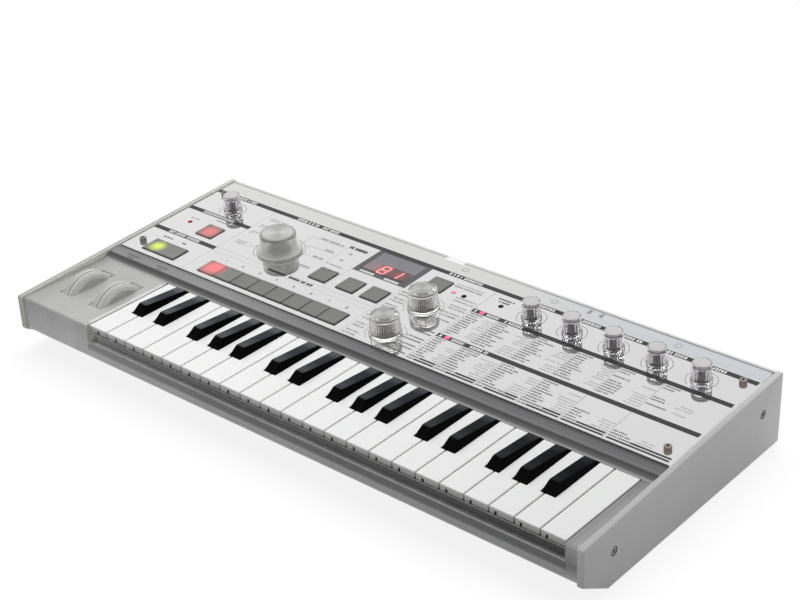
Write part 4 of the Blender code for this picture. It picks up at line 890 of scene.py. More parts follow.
def flutedKnob(name, k):
    # Clear cap: wall rippled by flutes that fade towards flange and shoulder, over a rippled hollow and a core
    x, y = knobFrame(name)
    waist, top = k["foot"] - k["flange"], k["height"]
    shoulder = quarterRound(k["top"], top, k["shoulder"])
    flange = [(k["foot"] - 0.25, 0.55), (k["foot"], 0.8), (k["foot"], 1.35), (k["foot"] - 0.15, 1.6), (waist, 1.75)]
    wall = [(waist + (k["top"] - waist) * t, 2.0 + (top - k["shoulder"] - 2.0) * t) for t in np.linspace(0, 1, 14)[:-1]]
    outer = flange + wall + shoulder + [(k["disc"] + 0.3, top - 0.05), (k["disc"], top - 0.4)]

    def ripple(angle, height):
        fade = np.clip((height - 2.0) / 1.0, 0, 1) * np.clip((top - 1.2 - height) / 1.5, 0, 1)
        return 1 - k["cut"] * fade * (0.5 + 0.5 * np.cos(k["flutes"] * angle)) ** 0.6

    def innerRipple(angle, height):
        fade = np.clip((height - 1.2) / 1.0, 0, 1) * np.clip((top - 3.1 - height) / 0.6, 0, 1)
        return 1 - 0.02 * fade * (0.5 + 0.5 * np.cos(k["flutes"] * angle + 1.0)) ** 0.8

    def splines(angle, height):
        return 1 - 0.22 * (height > 3.8) * (np.cos(9 * angle + 0.4) > 0.55)

    inner = [(k["foot"] - k["wall"], 0.55), (waist - k["wall"], 2.2)]
    inner += [(k["top"] - k["wall"], top - 3.6), (k["top"] - k["wall"] - 0.7, top - 3.0), (0.0, top - 3.0)]
    shell, hollow = lathe(outer, k["sides"], ripple), lathe(inner, k["sides"], innerRipple)
    disc = lathe([(0.0, top - 0.4), (k["disc"], top - 0.4), (k["disc"], top - 0.1), (k["disc"] - 0.3, top),
                  (k["disc"] * 0.5, top + 0.05), (0.0, top + 0.08)], 64)
    core = lathe([(0.0, 0.6), (k["skirt"], 0.6), (k["skirt"], 1.1), (k["core"] + 0.7, 2.0), (k["core"] + 0.1, 3.6)]
                 + [(k["core"] - 0.3 * t, 4.0 + (k["coreTop"] - 4.0) * t) for t in np.linspace(0, 1, 6)]
                 + [(0.0, k["coreTop"] + 0.2)], 96, splines)
    parts = [surface(onPanel(grid, x, y)) for grid in (shell, hollow, np.stack([shell[0], hollow[0]]))]
    parts.append(surface(onPanel(disc, x, y), slot=1))
    parts.append(surface(onPanel(core, x, y), slot=2))
    pointer = pointerStrip(shoulder[::-1] + wall[:6:-1], 0.8)
    parts.append(surface(onPanel(pointer, x, y), capFirst=True, capLast=True, slot=3))
    discFinish = finishes["knobTop"]
    if k is mediumKnob:
        discFinish = spunMetal(name + "Disc", tuple(onPanel((0.0, 0.0, top), x, y)), (0.5, 0.51, 0.495))
    materials = [finishes[k["cap"]], discFinish, finishes["core"], finishes["pointer"]]
    piece = makePiece(name.replace("_", ""), parts, materials, name, 50)
    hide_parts(name)


def dialKnob(name, k):
    # Frosted dial: knurled edge, wall that flares towards it, and a wide turned disc on top
    x, y = knobFrame(name)
    foot = [(k["foot"] - 0.7, 0.5), (k["foot"] - 0.2, 0.6), (k["foot"], 0.8), (k["foot"], k["edgeLow"]),
            (k["foot"] - 0.1, k["edgeLow"] + 0.2)]
    flare = [(k["top"] + 0.15 + (k["foot"] - k["top"] - 0.15) * (1 - t) ** k["flare"],
              k["edgeHigh"] + (k["flareTop"] - k["edgeHigh"]) * t) for t in np.linspace(0, 1, 18)]
    rim = quarterRound(k["top"], k["height"], k["shoulder"])

    def teeth(angle, height):
        fade = np.clip((height - 0.5) / 0.1, 0, 1) * np.clip((k["edgeLow"] + 0.2 - height) / 0.1, 0, 1)
        return 1 - 0.025 * fade * (np.cos(k["teeth"] * angle + 0.5) > 0)

    shell = lathe(foot + flare + rim + [(k["disc"], k["height"] - 0.3)], k["sides"], teeth)
    disc = lathe([(0.0, k["height"] - 0.5), (k["disc"], k["height"] - 0.3), (k["disc"] - 0.2, k["height"] - 0.05),
                  (k["disc"] * 0.6, k["height"]), (0.0, k["height"] - 0.15)], 96)
    inside = k["top"] - k["wall"]
    hollow = lathe([(k["foot"] - k["wall"], 0.5), (inside + 1.5, 1.3), (inside + 0.3, 3.4),
                    (inside, 6.0), (inside, k["height"] - 2.6), (0.0, k["height"] - 2.6)], k["sides"])
    core = lathe([(0.0, 0.55), (9.5, 0.55), (9.5, 1.1), (k["core"], 1.4), (k["core"] - 0.4, k["coreTop"]),
                  (0.0, k["coreTop"] + 0.35)], 64)
    parts = [surface(onPanel(grid, x, y)) for grid in (shell, hollow, np.stack([shell[0], hollow[0]]))]
    parts.append(surface(onPanel(disc, x, y), slot=1))
    parts.append(surface(onPanel(core, x, y), slot=2))
    band = [(r + 0.03, h + 0.03) for r, h in rim] + [(k["disc"], k["height"])]
    band += [(r - 0.15, h - 0.15) for r, h in reversed(rim)]
    parts.append(surface(onPanel(lathe(band, 144), x, y), closeRows=True, slot=3))
    discFinish = spunMetal(name + "Disc", tuple(onPanel((0.0, 0.0, k["height"]), x, y)), (0.60, 0.60, 0.595))
    materials = [finishes["frostedCap"], discFinish, finishes["paleCore"], finishes["dialRim"]]
    piece = makePiece(name.replace("_", ""), parts, materials, name)
    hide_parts(name)


for nodeName in sorted(nodes):
    if nodeName.startswith("edit_knob") or nodeName == "volume_knob":
        flutedKnob(nodeName, smallKnob)
    elif nodeName.startswith("edit_select"):
        flutedKnob(nodeName, mediumKnob)
dialKnob("program_select_knob", largeKnob)
print("knobs made")


# ---- buttons ----

button = {"side": 17.0, "rise": 1.15, "edge": 0.55, "corner": 1.0, "foot": -1.4, "dish": 0.12}
functionX = (-87.3, -59.3, -35.3)
programRow = {"x": -103.3, "y": 114.7, "pitch": 17.94, "count": 8}
singles = {"arpeggiator_button": (-210.6, 155.5), "timbre_button": (-5.2, 192.5)}
octave = {"x": -220.0, "y": 115.0, "width": 35.1}


def capGrid(width, side, x, y):
    # Soft-edged cap with a shallow round-cornered dish in its top
    outline = roundedCorners(rectangle(width, side), button["corner"])
    body = slab(outline, softLevels(button["foot"], button["rise"], button["edge"]))
    dish = []
    for inset, depth in ((1.9, 0), (2.6, button["dish"]), (4.0, button["dish"])):
        ring = roundedCorners(rectangle(width - 2 * inset, side - 2 * inset), button["corner"])
        dish.append(np.column_stack([ring, np.full(len(ring), button["rise"] - depth)]))
    return onPanel(np.concatenate([body, dish]), x, y)


def capPiece(name, node, caps, materials, slots):
    parts = [surface(capGrid(width, button["side"], x, y), capFirst=True, capLast=True, slot=slot)
             for (x, y, width), slot in zip(caps, slots)]
    piece = makePiece(name, parts, materials, node)
    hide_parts(node)


redLamp, limeLamp = (0.95, 0.16, 0.17), (0.62, 0.78, 0.06)
functionCaps = [(x, 155.2, button["side"]) for x in functionX]
capPiece("functionCaps", "function_buttons", functionCaps, [finishes["button"]], (0, 0, 0))
x, y = singles["timbre_button"]
capPiece("timbreCap", "timbre_button", [(x, y, button["side"])], [finishes["button"]], (0,))
x, y = singles["arpeggiator_button"]
arpeggioGlow = glowingPlastic("arpeggioGlow", smokeTone, redLamp, tuple(onPanel((1.0, -1.0, 0.0), x, y)), 0.0125, 0.45)
capPiece("arpeggiatorCap", "arpeggiator_button", [(x, y, button["side"])], [arpeggioGlow], (0,))
firstX = programRow["x"] - (programRow["count"] - 1) / 2 * programRow["pitch"]
programCaps = [(firstX + i * programRow["pitch"], programRow["y"], programRow["pitch"] - 0.7)
               for i in range(programRow["count"])]
programGlow = glowingPlastic("programGlow", smokeTone, redLamp,
                             tuple(onPanel((1.5, 0.5, 0.0), firstX, programRow["y"])), 0.0155, 0.62)
capPiece("programCaps", "program_buttons", programCaps, [finishes["button"], programGlow], [1, 1] + [0] * 6)
octaveGlow = glowingPlastic("octaveGlow", smokeTone, limeLamp,
                            tuple(onPanel((-7.5, -0.5, 0.0), octave["x"], octave["y"])), 0.0105, 0.75)
capPiece("octaveCap", "octave_shift_rocker", [(octave["x"], octave["y"], octave["width"])], [octaveGlow], (0,))
print("buttons made")


# ---- printing on the panel ----

inkHeight = 0.03
marks = {"inkDark": [], "inkText": [], "inkBlack": [], "inkGrey": [], "inkPale": [], "inkWhite": []}


def bar(ink, x0, x1, y0, y1, layer=0):
    marks[ink].append((min(x0, x1), max(x0, x1), min(y0, y1), max(y0, y1), layer))


def words(ink, x0, x1, y, height, letter=1.1, space=0.35, layer=0):
    # Row of short bars in place of lettering, with a wider space here and there
    x = x0
    while x < x1 - 0.3:
        wide = letter * rng.uniform(0.75, 1.3)
        bar(ink, x, min(x + wide, x1), y - height / 2, y + height / 2, layer)
        x += wide + space + (letter * 0.8 if rng.random() < 0.12 else 0)


def barMesh(name, ink, boxes):
    # Flat boxes with their faces just over the sheet, from an array of their sides
    b = np.array(boxes, float)
    corner = np.array([(0, 2), (1, 2), (1, 3), (0, 3)])
    top = np.stack([b[:, corner[:, 0]], b[:, corner[:, 1]], np.repeat(inkHeight * (1 + b[:, 4:]), 4, 1)], -1)
    low = top.copy()
    low[..., 2] = -0.05
    points = np.concatenate([low, top], 1)
    flat = points.reshape(-1, 3).copy()
    along = flat[:, 1].copy()
    flat[:, 1] = 0
    across = flat[:, 0].copy()
    flat[:, 0] = 0
    vertices = onPanel(flat, across, along)
    quads = np.array([(3, 2, 1, 0), (4, 5, 6, 7), (0, 1, 5, 4), (1, 2, 6, 5), (2, 3, 7, 6), (3, 0, 4, 7)])
    faces = (np.arange(len(b))[:, None, None] * 8 + quads[None]).reshape(-1, 4)
    mesh = bpy.data.meshes.new(name)
    mesh.from_pydata(vertices.tolist(), [], faces.tolist())
    mesh.materials.append(finishes[ink])
    piece = bpy.data.objects.new(name, mesh)
    bpy.context.scene.collection.objects.link(piece)
    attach(piece, "case")


def sectionStripe(x0, x1, y, depth, titles, layer=0):
    # Dark stripe with pale bars where its title stands
    bar("inkDark", x0, x1, y - depth / 2, y + depth / 2, layer)
    for start, end in titles:
        words("inkWhite", start, end, y, depth * 0.64, 1.5, 0.7, layer + 1)


sectionStripe(-256, 255, 210.9, 4.6, [(-232, -212.5), (-165.5, -141), (-138.5, -121), (-8.5, 3), (5.5, 22.5),
                                      (75.5, 89.5), (113, 128), (148, 163), (184, 200), (220.5, 230.5)])
sectionStripe(-256, -188, 177.6, 4.7, [(-240, -205.5)])
sectionStripe(-256, -188, 138.8, 4.8, [(-240, -221.5), (-219.5, -206)])
sectionStripe(38, 254.6, 179.2, 4.6, [(40, 42.6), (51, 62), (67.5, 83.5)])
sectionStripe(38, 254.6, 138.9, 4.7, [(40, 42.6), (51, 62), (67.5, 84)])

# Text beside the left controls
words("inkGrey", -220, -202, 172.0, 1.5)
words("inkGrey", -242, -232, 165.0, 1.4)
words("inkDark", -237.5, -227, 130.0, 1.7)
words("inkDark", -216, -212, 130.0, 1.7)

# Leader lines and names around the program dial
for x0, x1, y, lineY in ((-128, -104, 197.4, 195.5), (-113, -104, 185.5, 183.5), (-114, -104, 173.0, 171.2),
                         (-118, -103, 157.2, 155.2)):
    words("inkGrey", x0, x1, y, 2.0, 1.2, 0.4)
    bar("inkGrey", x0 - 8 if y > 190 else x0 - 13, x1, lineY - 0.15, lineY + 0.15)
for x0, x1, y in ((-184, -167, 197.5), (-184, -177, 186.0), (-184, -176, 174.5), (-183, -172.5, 157.5)):
    words("inkPale", x0, x1, y + 1.2, 1.8, 1.2, 0.4)
    words("inkPale", x0, x1 - 1.5, y - 1.4, 1.2, 1.0, 0.4)
bar("inkGrey", -135.6, -135.3, 187.0, 195.5)
bar("inkGrey", -184, -168.5, 155.0, 155.3)

# Title over the program buttons, and plain numbers 1 to 8
words("inkBlack", -129.5, -110.5, 138.5, 2.6, 1.8, 0.4)
words("inkBlack", -107.5, -83.5, 138.5, 2.6, 1.8, 0.4)
for y in (141.2, 135.6):
    bar("inkPale", -187, -24.5, y - 0.12, y + 0.12)
digitSegments = {"a": ((0, 1), (1, 1)), "b": ((1, 1), (1, 0.5)), "c": ((1, 0.5), (1, 0)), "d": ((0, 0), (1, 0)),
                 "e": ((0, 0), (0, 0.5)), "f": ((0, 0.5), (0, 1)), "g": ((0, 0.5), (1, 0.5))}
digitShapes = {"1": "bc", "2": "abged", "3": "abgcd", "4": "fgbc", "5": "afgcd", "6": "afgedc", "7": "abc",
               "8": "abcdefg"}


def digitBars(ink, digit, x, y, width, height, stroke, layer=0):
    # Number made of straight strokes, centred at x and y
    for segment in digitShapes[digit]:
        (ax, ay), (bx, by) = digitSegments[segment]
        ax, bx = x + (ax - 0.5) * width, x + (bx - 0.5) * width
        ay, by = y + (ay - 0.5) * height, y + (by - 0.5) * height
        bar(ink, min(ax, bx) - stroke / 2, max(ax, bx) + stroke / 2, min(ay, by) - stroke / 2,
            max(ay, by) + stroke / 2, layer)


for i in range(programRow["count"]):
    digitBars("inkDark", str(i + 1), firstX + i * programRow["pitch"], 129.8, 1.2, 2.2, 0.4)

# Small framed list between dial and display
words("inkBlack", -99, -81.5, 199.5, 3.4, 1.7, 0.4)
for y in (190.8, 180.0):
    words("inkGrey", -92.5, -89.5, y, 2.2, 0.9, 0.3)
words("inkGrey", -98.5, -82, 170.8, 1.3)
for x0, x1, y0, y1 in ((-76.4, -76.1, 141.5, 174.5), (-188.4, -188.1, 101.5, 208.5), (-24.4, -24.1, 101.5, 208.5),
                       (-99.8, -99.6, 172.5, 208.5)):
    bar("inkPale", x0, x1, y0, y1)
bar("inkGrey", 37.5, 37.8, 101.8, 208.5)

# Names around the two edit dials, each on its leader line
for y in (186.5, 182.4, 176.0, 172.4, 166.0, 162.0, 155.8, 138.8, 134.6, 127.0, 123.0, 117.0, 112.8, 106.2):
    left = rng.uniform(17.0, 23.0)
    words("inkText" if y < 165 else "inkGrey", left, 35.5, y, 1.5, 0.9, 0.4)
    bar("inkPale", left - 6, 35.5, y - 1.5, y - 1.33)
for y in (170.5, 166.6, 161.0, 157.0, 151.0, 147.0, 131.0, 126.8, 119.6, 115.6, 108.6, 104.6):
    right = rng.uniform(-13.5, -9.5)
    words("inkGrey", -22, right, y, 1.6, 0.9, 0.35)
    bar("inkPale", -22, right + 5, y - 1.4, y - 1.23)

# Text over the lamps
words("inkPale", 5.5, 31, 202.0, 1.6)
words("inkGrey", 5.5, 31, 198.8, 1.8)
words("inkDark", 44.2, 58.8, 202.6, 1.8)
words("inkDark", 46.8, 56.5, 199.2, 1.8)

# Two tables under the edit knobs: names at the left of each column, values at its right
columnsX = (38.4, 63.1, 98.4, 133.6, 169.0, 204.5, 254.6)
upperRows, lowerRows = 175.0 - 3.04 * np.arange(11), 134.5 - 3.03 * np.arange(9)
for column in range(6):
    x0, x1 = columnsX[column], columnsX[column + 1]
    if column:
        bar("inkGrey", x0 - 0.17, x0 + 0.17, 143.5, 176.6)
        bar("inkGrey", x0 - 0.17, x0 + 0.17, 101.8, 136.2)
    for rows, upper in ((upperRows, True), (lowerRows, False)):
        for order, rowY in enumerate(rows):
            sparse = (upper and column == 5 and order not in (0, 1, 5, 6, 8)) or (
                not upper and column == 4 and order < 5) or (not upper and column == 5 and order < 7)
            if sparse or (upper and column == 4 and order in (2, 4)):
                continue
            wide = x1 - x0 > 30
            reach = rng.uniform(7.5, 16.0) if wide else rng.uniform(6.0, 11.0)
            words("inkText", x0 + 1.2, x0 + 1.2 + reach, rowY, 1.45, 0.85, 0.42)
            if rng.random() < 0.85 and order:
                values = rng.uniform(7, 14) if wide else rng.uniform(5, 9)
                right = x1 - 1.0 if column < 5 else x0 + 33
                words("inkPale", right - values, right, rowY - 0.2, 1.35, 1.0, 0.3)
stripeLabels = ((38.6, 47.5, 44.4), (63.8, 79.4, 73.1), (99.4, 121.9, 106.3), (134.8, 153.1, 142.1),
                (170.0, 180.6, 170.2), (206.0, 222.5, 206.2))
for column, (x0, upperStart, lowerStart) in enumerate(stripeLabels):
    end = columnsX[column + 1] - 1.0
    bar("inkDark", upperStart, end, 106.35, 108.15)
    bar("inkDark", lowerStart, end, 103.45, 105.2)
    words("inkText", x0, upperStart - 0.4, 107.3, 1.5, 0.85, 0.4)
    if lowerStart > x0 + 1:
        words("inkText", x0, lowerStart - 0.4, 104.3, 1.5, 0.85, 0.4)
for x in (110.0, 120.0):
    bar("inkPale", x - 1.7, x + 1.7, 221.0, 226.8)
    bar("inkGrey", x - 0.7, x + 1.1, 221.8, 226.2, 1)
for y in (216.4, 219.6, 225.4):
    bar("inkPale", 90, 256, y, y + 0.12)
bar("inkDark", -256, 256, 100.6, 101.2)

for ink, boxes in marks.items():
    barMesh("printed" + ink[3:] + "Marks", ink, boxes)


def ringGrid(x, y, radius, width, start=0.0, end=360.0, steps=64, height=inkHeight):
    # Flat ring or arc just over the sheet, as a closed band
    turn = np.radians(np.linspace(start, end, steps, endpoint=end - start < 360))
    section = [(radius - width / 2, -0.05), (radius + width / 2, -0.05), (radius + width / 2, height),
               (radius - width / 2, height)]
    points = np.array([[(r * math.cos(a), r * math.sin(a), h) for r, h in section] for a in turn])
    return onPanel(points, x, y)


def strokeGrid(ax, ay, bx, by, width, height=inkHeight):
    # Straight printed line between two places
    along, side = np.array([bx - ax, by - ay]), np.array([ay - by, bx - ax])
    side = side / np.linalg.norm(side) * width / 2
    corners = [np.array([ax, ay]) - side, np.array([bx, by]) - side, np.array([bx, by]) + side,
               np.array([ax, ay]) + side]
    layers = [[(cx, cy, h) for cx, cy in corners] for h in (-0.05, height)]
    layers = np.array(layers)
    across, down = layers[..., 0].copy(), layers[..., 1].copy()
    layers[..., 0] = layers[..., 1] = 0
    return onPanel(layers, across, down)


def printRings():
    # Rings around the knobs, lines of the dial's fan, and the bosses that show through the clear strip
    parts = []
    for nodeName in sorted(nodes):
        if nodeName.startswith("edit_knob") or nodeName == "volume_knob":
            x, y = knobFrame(nodeName)
            parts.append(surface(ringGrid(x, y, 11.0, 0.38, -60, 240), capFirst=True, capLast=True))
    x, y = knobFrame("program_select_knob")
    parts.append(surface(ringGrid(x, y, 20.4, 0.4, -62, 242), capFirst=True, capLast=True))
    for name in ("edit_select_knob_upper", "edit_select_knob_lower"):
        x, y = knobFrame(name)
        parts.append(surface(ringGrid(x, y, 15.0, 0.3, -60, 240), capFirst=True, capLast=True))
    for line in ((-135.4, 187.0, -135.2, 184.0), (-128.5, 181.0, -126.0, 183.5), (-168.5, 155.2, -162.8, 159.6),
                 (-124.5, 161.0, -118.5, 155.3)):
        parts.append(surface(strokeGrid(*line, 0.35), closeColumns=True, capFirst=True, capLast=True))
    for x, y in ((-1.6, 221.3), (80.6, 221.4), (186.0, 221.4)):
        parts.append(surface(ringGrid(x, y, 2.4, 1.1, 0, 360), closeRows=True, slot=1))
    piece = makePiece("printedRings", parts, [finishes["inkRing"], finishes["inkPale"]])


printRings()
print("printing made")


# ---- display and lamps ----

display = {"x0": -75.5, "x1": -23.5, "y0": 174.7, "y1": 208.6, "glass": (-71.0, -28.8, 180.4, 207.4)}


def rectGrid(x0, x1, y0, y1, low, high, corner=0.6, edge=0.05):
    outline = roundedCorners(rectangle(x1 - x0, y1 - y0), corner)
    return onPanel(slab(outline, softLevels(low, high, edge, 2)), (x0 + x1) / 2, (y0 + y1) / 2)


def displayPieces():
    frameMaterial = plainFinish("displayBorder", (0.045, 0.046, 0.056), 0.1, 2000.0, 0.05, 0.0, Coat_Weight=0.2,
                                Coat_Roughness=0.04)
    border = makePiece("displayBorder", [surface(rectGrid(display["x0"], display["x1"], display["y0"], display["y1"],
                                                          -0.1, 0.09), capFirst=True, capLast=True)], [frameMaterial])
    glass, tree, shader, coords = startMaterial("smokedDisplayGlass", Coat_Weight=0.4, Coat_Roughness=0.03,
                                                Roughness=0.3, Emission_Strength=0.22, Specular_IOR_Level=0.3)
    x, y, z = millimetres(tree, coords)
    lowRight = mathNode(tree, "MULTIPLY",
                        useGroup(tree, bandGroup, Value=x, Low=-61.0, High=-20.0, Soft=2.0).outputs[0],
                        useGroup(tree, bandGroup, Value=y, Low=170.0, High=194.0, Soft=1.5).outputs[0])
    tone = mixColors(tree, lowRight, (0.17, 0.165, 0.19), (0.06, 0.03, 0.035))
    warm = zone(tree, (x, -75.0, -52.0, 6.0), (y, 170.0, 196.0, 6.0))
    tone = mixColors(tree, mathNode(tree, "MULTIPLY", warm, 0.5), tone, (0.30, 0.17, 0.18))
    addGrain(tree, shader, coords, tone, 600.0, 0.1, 0.0)
    glowA = useGroup(tree, glowGroup, Vector=coords, Centre=tuple(onPanel((0.0, 0.0, 0.0), -53.2, 186.8)),
                     Radius=0.0135).outputs[0]
    glowB = useGroup(tree, glowGroup, Vector=coords, Centre=tuple(onPanel((0.0, 0.0, 0.0), -38.2, 186.8)),
                     Radius=0.011).outputs[0]
    both = mathNode(tree, "MAXIMUM", glowA, mathNode(tree, "MULTIPLY", glowB, 0.8))
    tree.links.new(mixColors(tree, both, (0, 0, 0), (0.9, 0.12, 0.1)), shader.inputs["Emission Color"])
    x0, x1, y0, y1 = display["glass"]
    edges = [(x0, x1, y0 - 0.5, y0 + 0.3), (x0 - 0.3, x0 + 0.2, y0, y1)]
    trims = makePiece("displayTrim", [surface(rectGrid(*sides, -0.1, 0.14, 0.1), capFirst=True, capLast=True)
                                      for sides in edges], [finishes["inkBlack"]])
    streak = makePiece("displayStreak", [surface(rectGrid(x1 - 1.9, x1 - 1.3, y0 + 9, y1 - 1.0, -0.1, 0.14, 0.1),
                                                 capFirst=True, capLast=True)], [finishes["inkGrey"]])
    pane = makePiece("displayGlass", [surface(rectGrid(x0, x1, y0, y1, -0.1, 0.12, 0.3), capFirst=True,
                                              capLast=True)], [glass])
    litSegment, tree, shader, coords = startMaterial("litSegment", Base_Color=(0.5, 0.08, 0.07), Roughness=0.2,
                                                     Emission_Strength=1.0)
    noise = addNode(tree, "ShaderNodeTexNoise", in_Vector=coords, in_Scale=700.0)
    tree.links.new(mixColors(tree, noise.outputs[0], (0.93, 0.24, 0.23), (1.0, 0.42, 0.40)),
                   shader.inputs["Emission Color"])
    parts = []
    for digit, x in (("8", -53.0), ("1", -41.0)):
        for segment in digitShapes[digit]:
            ends = [(x + (sx - 0.5) * 6.4 + (sy - 0.5) * 1.4, 186.4 + (sy - 0.5) * 10.4)
                    for sx, sy in digitSegments[segment]]
            (ax, ay), (bx, by) = ends
            reach = 0.25 / math.hypot(bx - ax, by - ay)
            ax, ay, bx, by = ax + (bx - ax) * reach, ay + (by - ay) * reach, bx - (bx - ax) * reach, by - (by - ay) * reach
            parts.append(surface(strokeGrid(ax, ay, bx, by, 1.35, 0.15), capFirst=True, capLast=True))
    digits = makePiece("displayDigits", parts, [litSegment])
    labelParts = []
    for start, end in ((-69.2, -55.2), (-45.0, -31.6)):
        x = start
        while x < end:
            labelParts.append(surface(rectGrid(x, x + 1.9, 175.6, 178.3, 0.0, 0.12, 0.2), capFirst=True,
                                      capLast=True))
            x += 2.35
    labels = makePiece("displayLabels", labelParts, [finishes["inkWhite"]])


displayPieces()

lamps = {"tempoLamp": (-237.0, 158.6, 2.0, (0.55, 0.02, 0.05), 0.3), "timbreLampOne": (11.2, 190.6, 1.9,
         (0.95, 0.25, 0.42), 0.75), "timbreLampTwo": (21.0, 190.4, 2.1, (0.03, 0.004, 0.006), 0.0),
         "sourceLamp": (52.2, 194.3, 2.1, (0.035, 0.005, 0.008), 0.0),
         "editLampOne": (46.8, 179.3, 2.4, (0.95, 0.16, 0.36), 0.7),
         "editLampTwo": (46.8, 138.9, 2.4, (0.95, 0.16, 0.36), 0.7)}


def lampPiece(name, x, y, radius, color, strength):
    # Low domed lens
    turn = np.linspace(0, math.pi / 2, 6)
    profile = [(radius, -0.2)] + [(radius * max(math.cos(a), 0.0), 0.1 + 0.45 * math.sin(a)) for a in turn]
    lens = glowingPlastic(name + "Lens", tuple(0.6 * c for c in color), color,
                          tuple(onPanel((0.0, 0.0, 0.3), x, y)), radius * 1.6 * mm, strength, 0.12, 0.0)
    piece = makePiece(name, [surface(onPanel(lathe(profile, 32), x, y), capFirst=True)], [lens])


for name, values in lamps.items():
    lampPiece(name, *values)
print("display and lamps made")


# ---- cheeks and screws ----

screw = {"head": 2.78, "rise": 3.0, "hexOut": 1.6, "floor": 1.2, "edge": 0.3, "knurls": 20, "side": 245.8,
         "along": (115.2, 206.7)}


def hexRadius(sides, outer):
    # Radius of a hexagon with that corner radius, at evenly spaced angles
    turn = np.linspace(0, 2 * math.pi, sides, endpoint=False)
    return outer * math.cos(math.pi / 6) / np.cos((turn + math.pi / 6) % (math.pi / 3) - math.pi / 6)


def socketHead(radius, rise, hexOut, floor, edge, low=-0.3, sides=48, knurls=0):
    # Round head with a bevelled rim and a hexagonal socket, as three grids: wall, top and socket;
    # its wall radius is radius * (1 - 0.1) in every second part of the turn where it has knurls
    turn = np.linspace(0, 2 * math.pi, sides, endpoint=False)
    circle = np.ones(sides)
    wall = radius * (1 - 0.1 * (np.cos(knurls * turn + 0.1) < 0) * (knurls > 0))
    rings = [(wall, low), (wall, rise - edge), ((radius - edge) * circle, rise),
             (hexRadius(sides, hexOut + 0.25), rise), (hexRadius(sides, hexOut), rise - 0.2),
             (hexRadius(sides, hexOut), floor), (0.0 * circle, floor - 0.3)]
    grid = np.stack([np.stack([r * np.cos(turn), r * np.sin(turn), np.full(sides, h)], -1) for r, h in rings])
    return grid[:3], grid[2:4], grid[3:]


def panelScrews():
    parts = []
    for x, metal in ((-screw["side"], 3), (screw["side"], 2)):
        for y in screw["along"]:
            wall, top, socket = socketHead(screw["head"], screw["rise"], screw["hexOut"], screw["floor"],
                                           screw["edge"], sides=120, knurls=screw["knurls"])
            parts.append(surface(onPanel(wall, x, y), capFirst=True, slot=metal))
            parts.append(surface(onPanel(top, x, y), slot=metal))
            parts.append(surface(onPanel(socket, x, y), slot=1))
    metals = [finishes["nickel"], finishes["darkNickel"], finishes["warmNickel"], finishes["greyNickel"]]
    piece = makePiece("panelScrews", parts, metals, sharp=30)


def cheekScrews():
    # Countersunk heads lying in the cheeks, their tops level with the recess
    for side, name in ((-1, "leftCheekScrews"), (1, "rightCheekScrews")):
        parts = []
        for y, z in cheek["screws"]:
            for slot, grid in zip((1, 0, 1), socketHead(2.75, 0.0, 1.4, -1.5, 0.3, low=-0.9)):
                points = np.stack([side * (cheek["outer"] - 0.12 + grid[..., 2]), y + grid[..., 0],
                                   cheek["low"] + z + grid[..., 1]], -1)
                parts.append(surface(toWorld(points), slot=slot, capFirst=slot == 1 and grid.shape[0] == 3))
        piece = makePiece(name, parts, [finishes["greyNickel"], finishes["darkNickel"]], sharp=30)


cheek = {"low": 1.5, "corners": [(0, 16.7), (27.4, 0), (120, 0), (232, 0), (232, 55.3), (120, 49.94), (0, 44.2)],
         "radii": [2, 0, 0, 2, 2, 0, 2], "middle": 120, "inner": 257.4, "outer": 262.0, "round": 1.3, "recess": 3.3,
         "recessDepth": 0.4, "screws": ((32.4, 25.75), (207.0, 34.1))}


def densify(outline, spacing):
    # Extra points along the long sides of an outline
    result = []
    for start, end in zip(outline, np.roll(outline, -1, 0)):
        steps = max(1, math.ceil(np.linalg.norm(end - start) / spacing))
        result.append(start + (end - start) * (np.arange(steps) / steps)[:, None])
    return np.concatenate(result)


def cheekPiece(name, node, side):
    # Outline with a quarter-round outer edge; its face is two fans of quads, each around a screw recess
    c = cheek
    outline = densify(roundedCorners(c["corners"], c["radii"]), 3.0)
    levels = [(c["inner"], 0.3), (c["inner"] + 0.3, 0)]
    levels += [(c["outer"] - c["round"] * (1 - math.sin(a)), c["round"] * (1 - math.cos(a)))
               for a in np.linspace(0, math.pi / 2, 7)]
    rim = slab(outline, levels)
    face = rim[-1]

    def place(rows):
        rows = np.asarray(rows)
        return toWorld(np.stack([side * rows[..., 2], rows[..., 0], rows[..., 1] + c["low"]], -1))

    low, high = np.flatnonzero(np.abs(outline[:, 0] - c["middle"]) < 1e-6)
    seam = face[low] + (face[high] - face[low]) * np.linspace(0, 1, 17)[1:-1, None]
    loops = [np.concatenate([face[:low + 1], seam, face[high:]]), np.concatenate([face[low:high + 1], seam[::-1]])]
    parts = [surface(place(rim[1:])), surface(place(rim[:2]), capFirst=True, slot=2)]
    for loop, centre in zip(loops, c["screws"]):
        away = loop[:, :2] - centre
        away = away / np.linalg.norm(away, axis=1, keepdims=True)
        rings = [np.column_stack([centre + radius * away, np.full(len(loop), c["outer"] - depth)])
                 for radius, depth in ((c["recess"], 0), (c["recess"], c["recessDepth"]), (0, c["recessDepth"]))]
        parts.append(surface(place([loop, rings[0]])))
        parts.append(surface(place(rings), slot=1))
    piece = makePiece(name, parts, [finishes["cheek"], finishes["darkNickel"], finishes["cheekInside"]], sharp=40)
    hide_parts(node)


cheekPiece("leftCheek", "left_cheek", -1)
cheekPiece("rightCheek", "right_cheek", 1)
panelScrews()
cheekScrews()
print("cheeks and screws made")


# ---- lip behind the keys ----

lip = {"half": 256.9, "thick": 0.35,
       "profile": [(83.6, 45.25), (84.3, 45.52), (86.0, 46.45), (88.2, 47.55), (89.2, 47.97), (90.5, 48.3),
                   (92.0, 48.58), (95.0, 48.88), (98.5, 49.02), (100.1, 49.04)]}


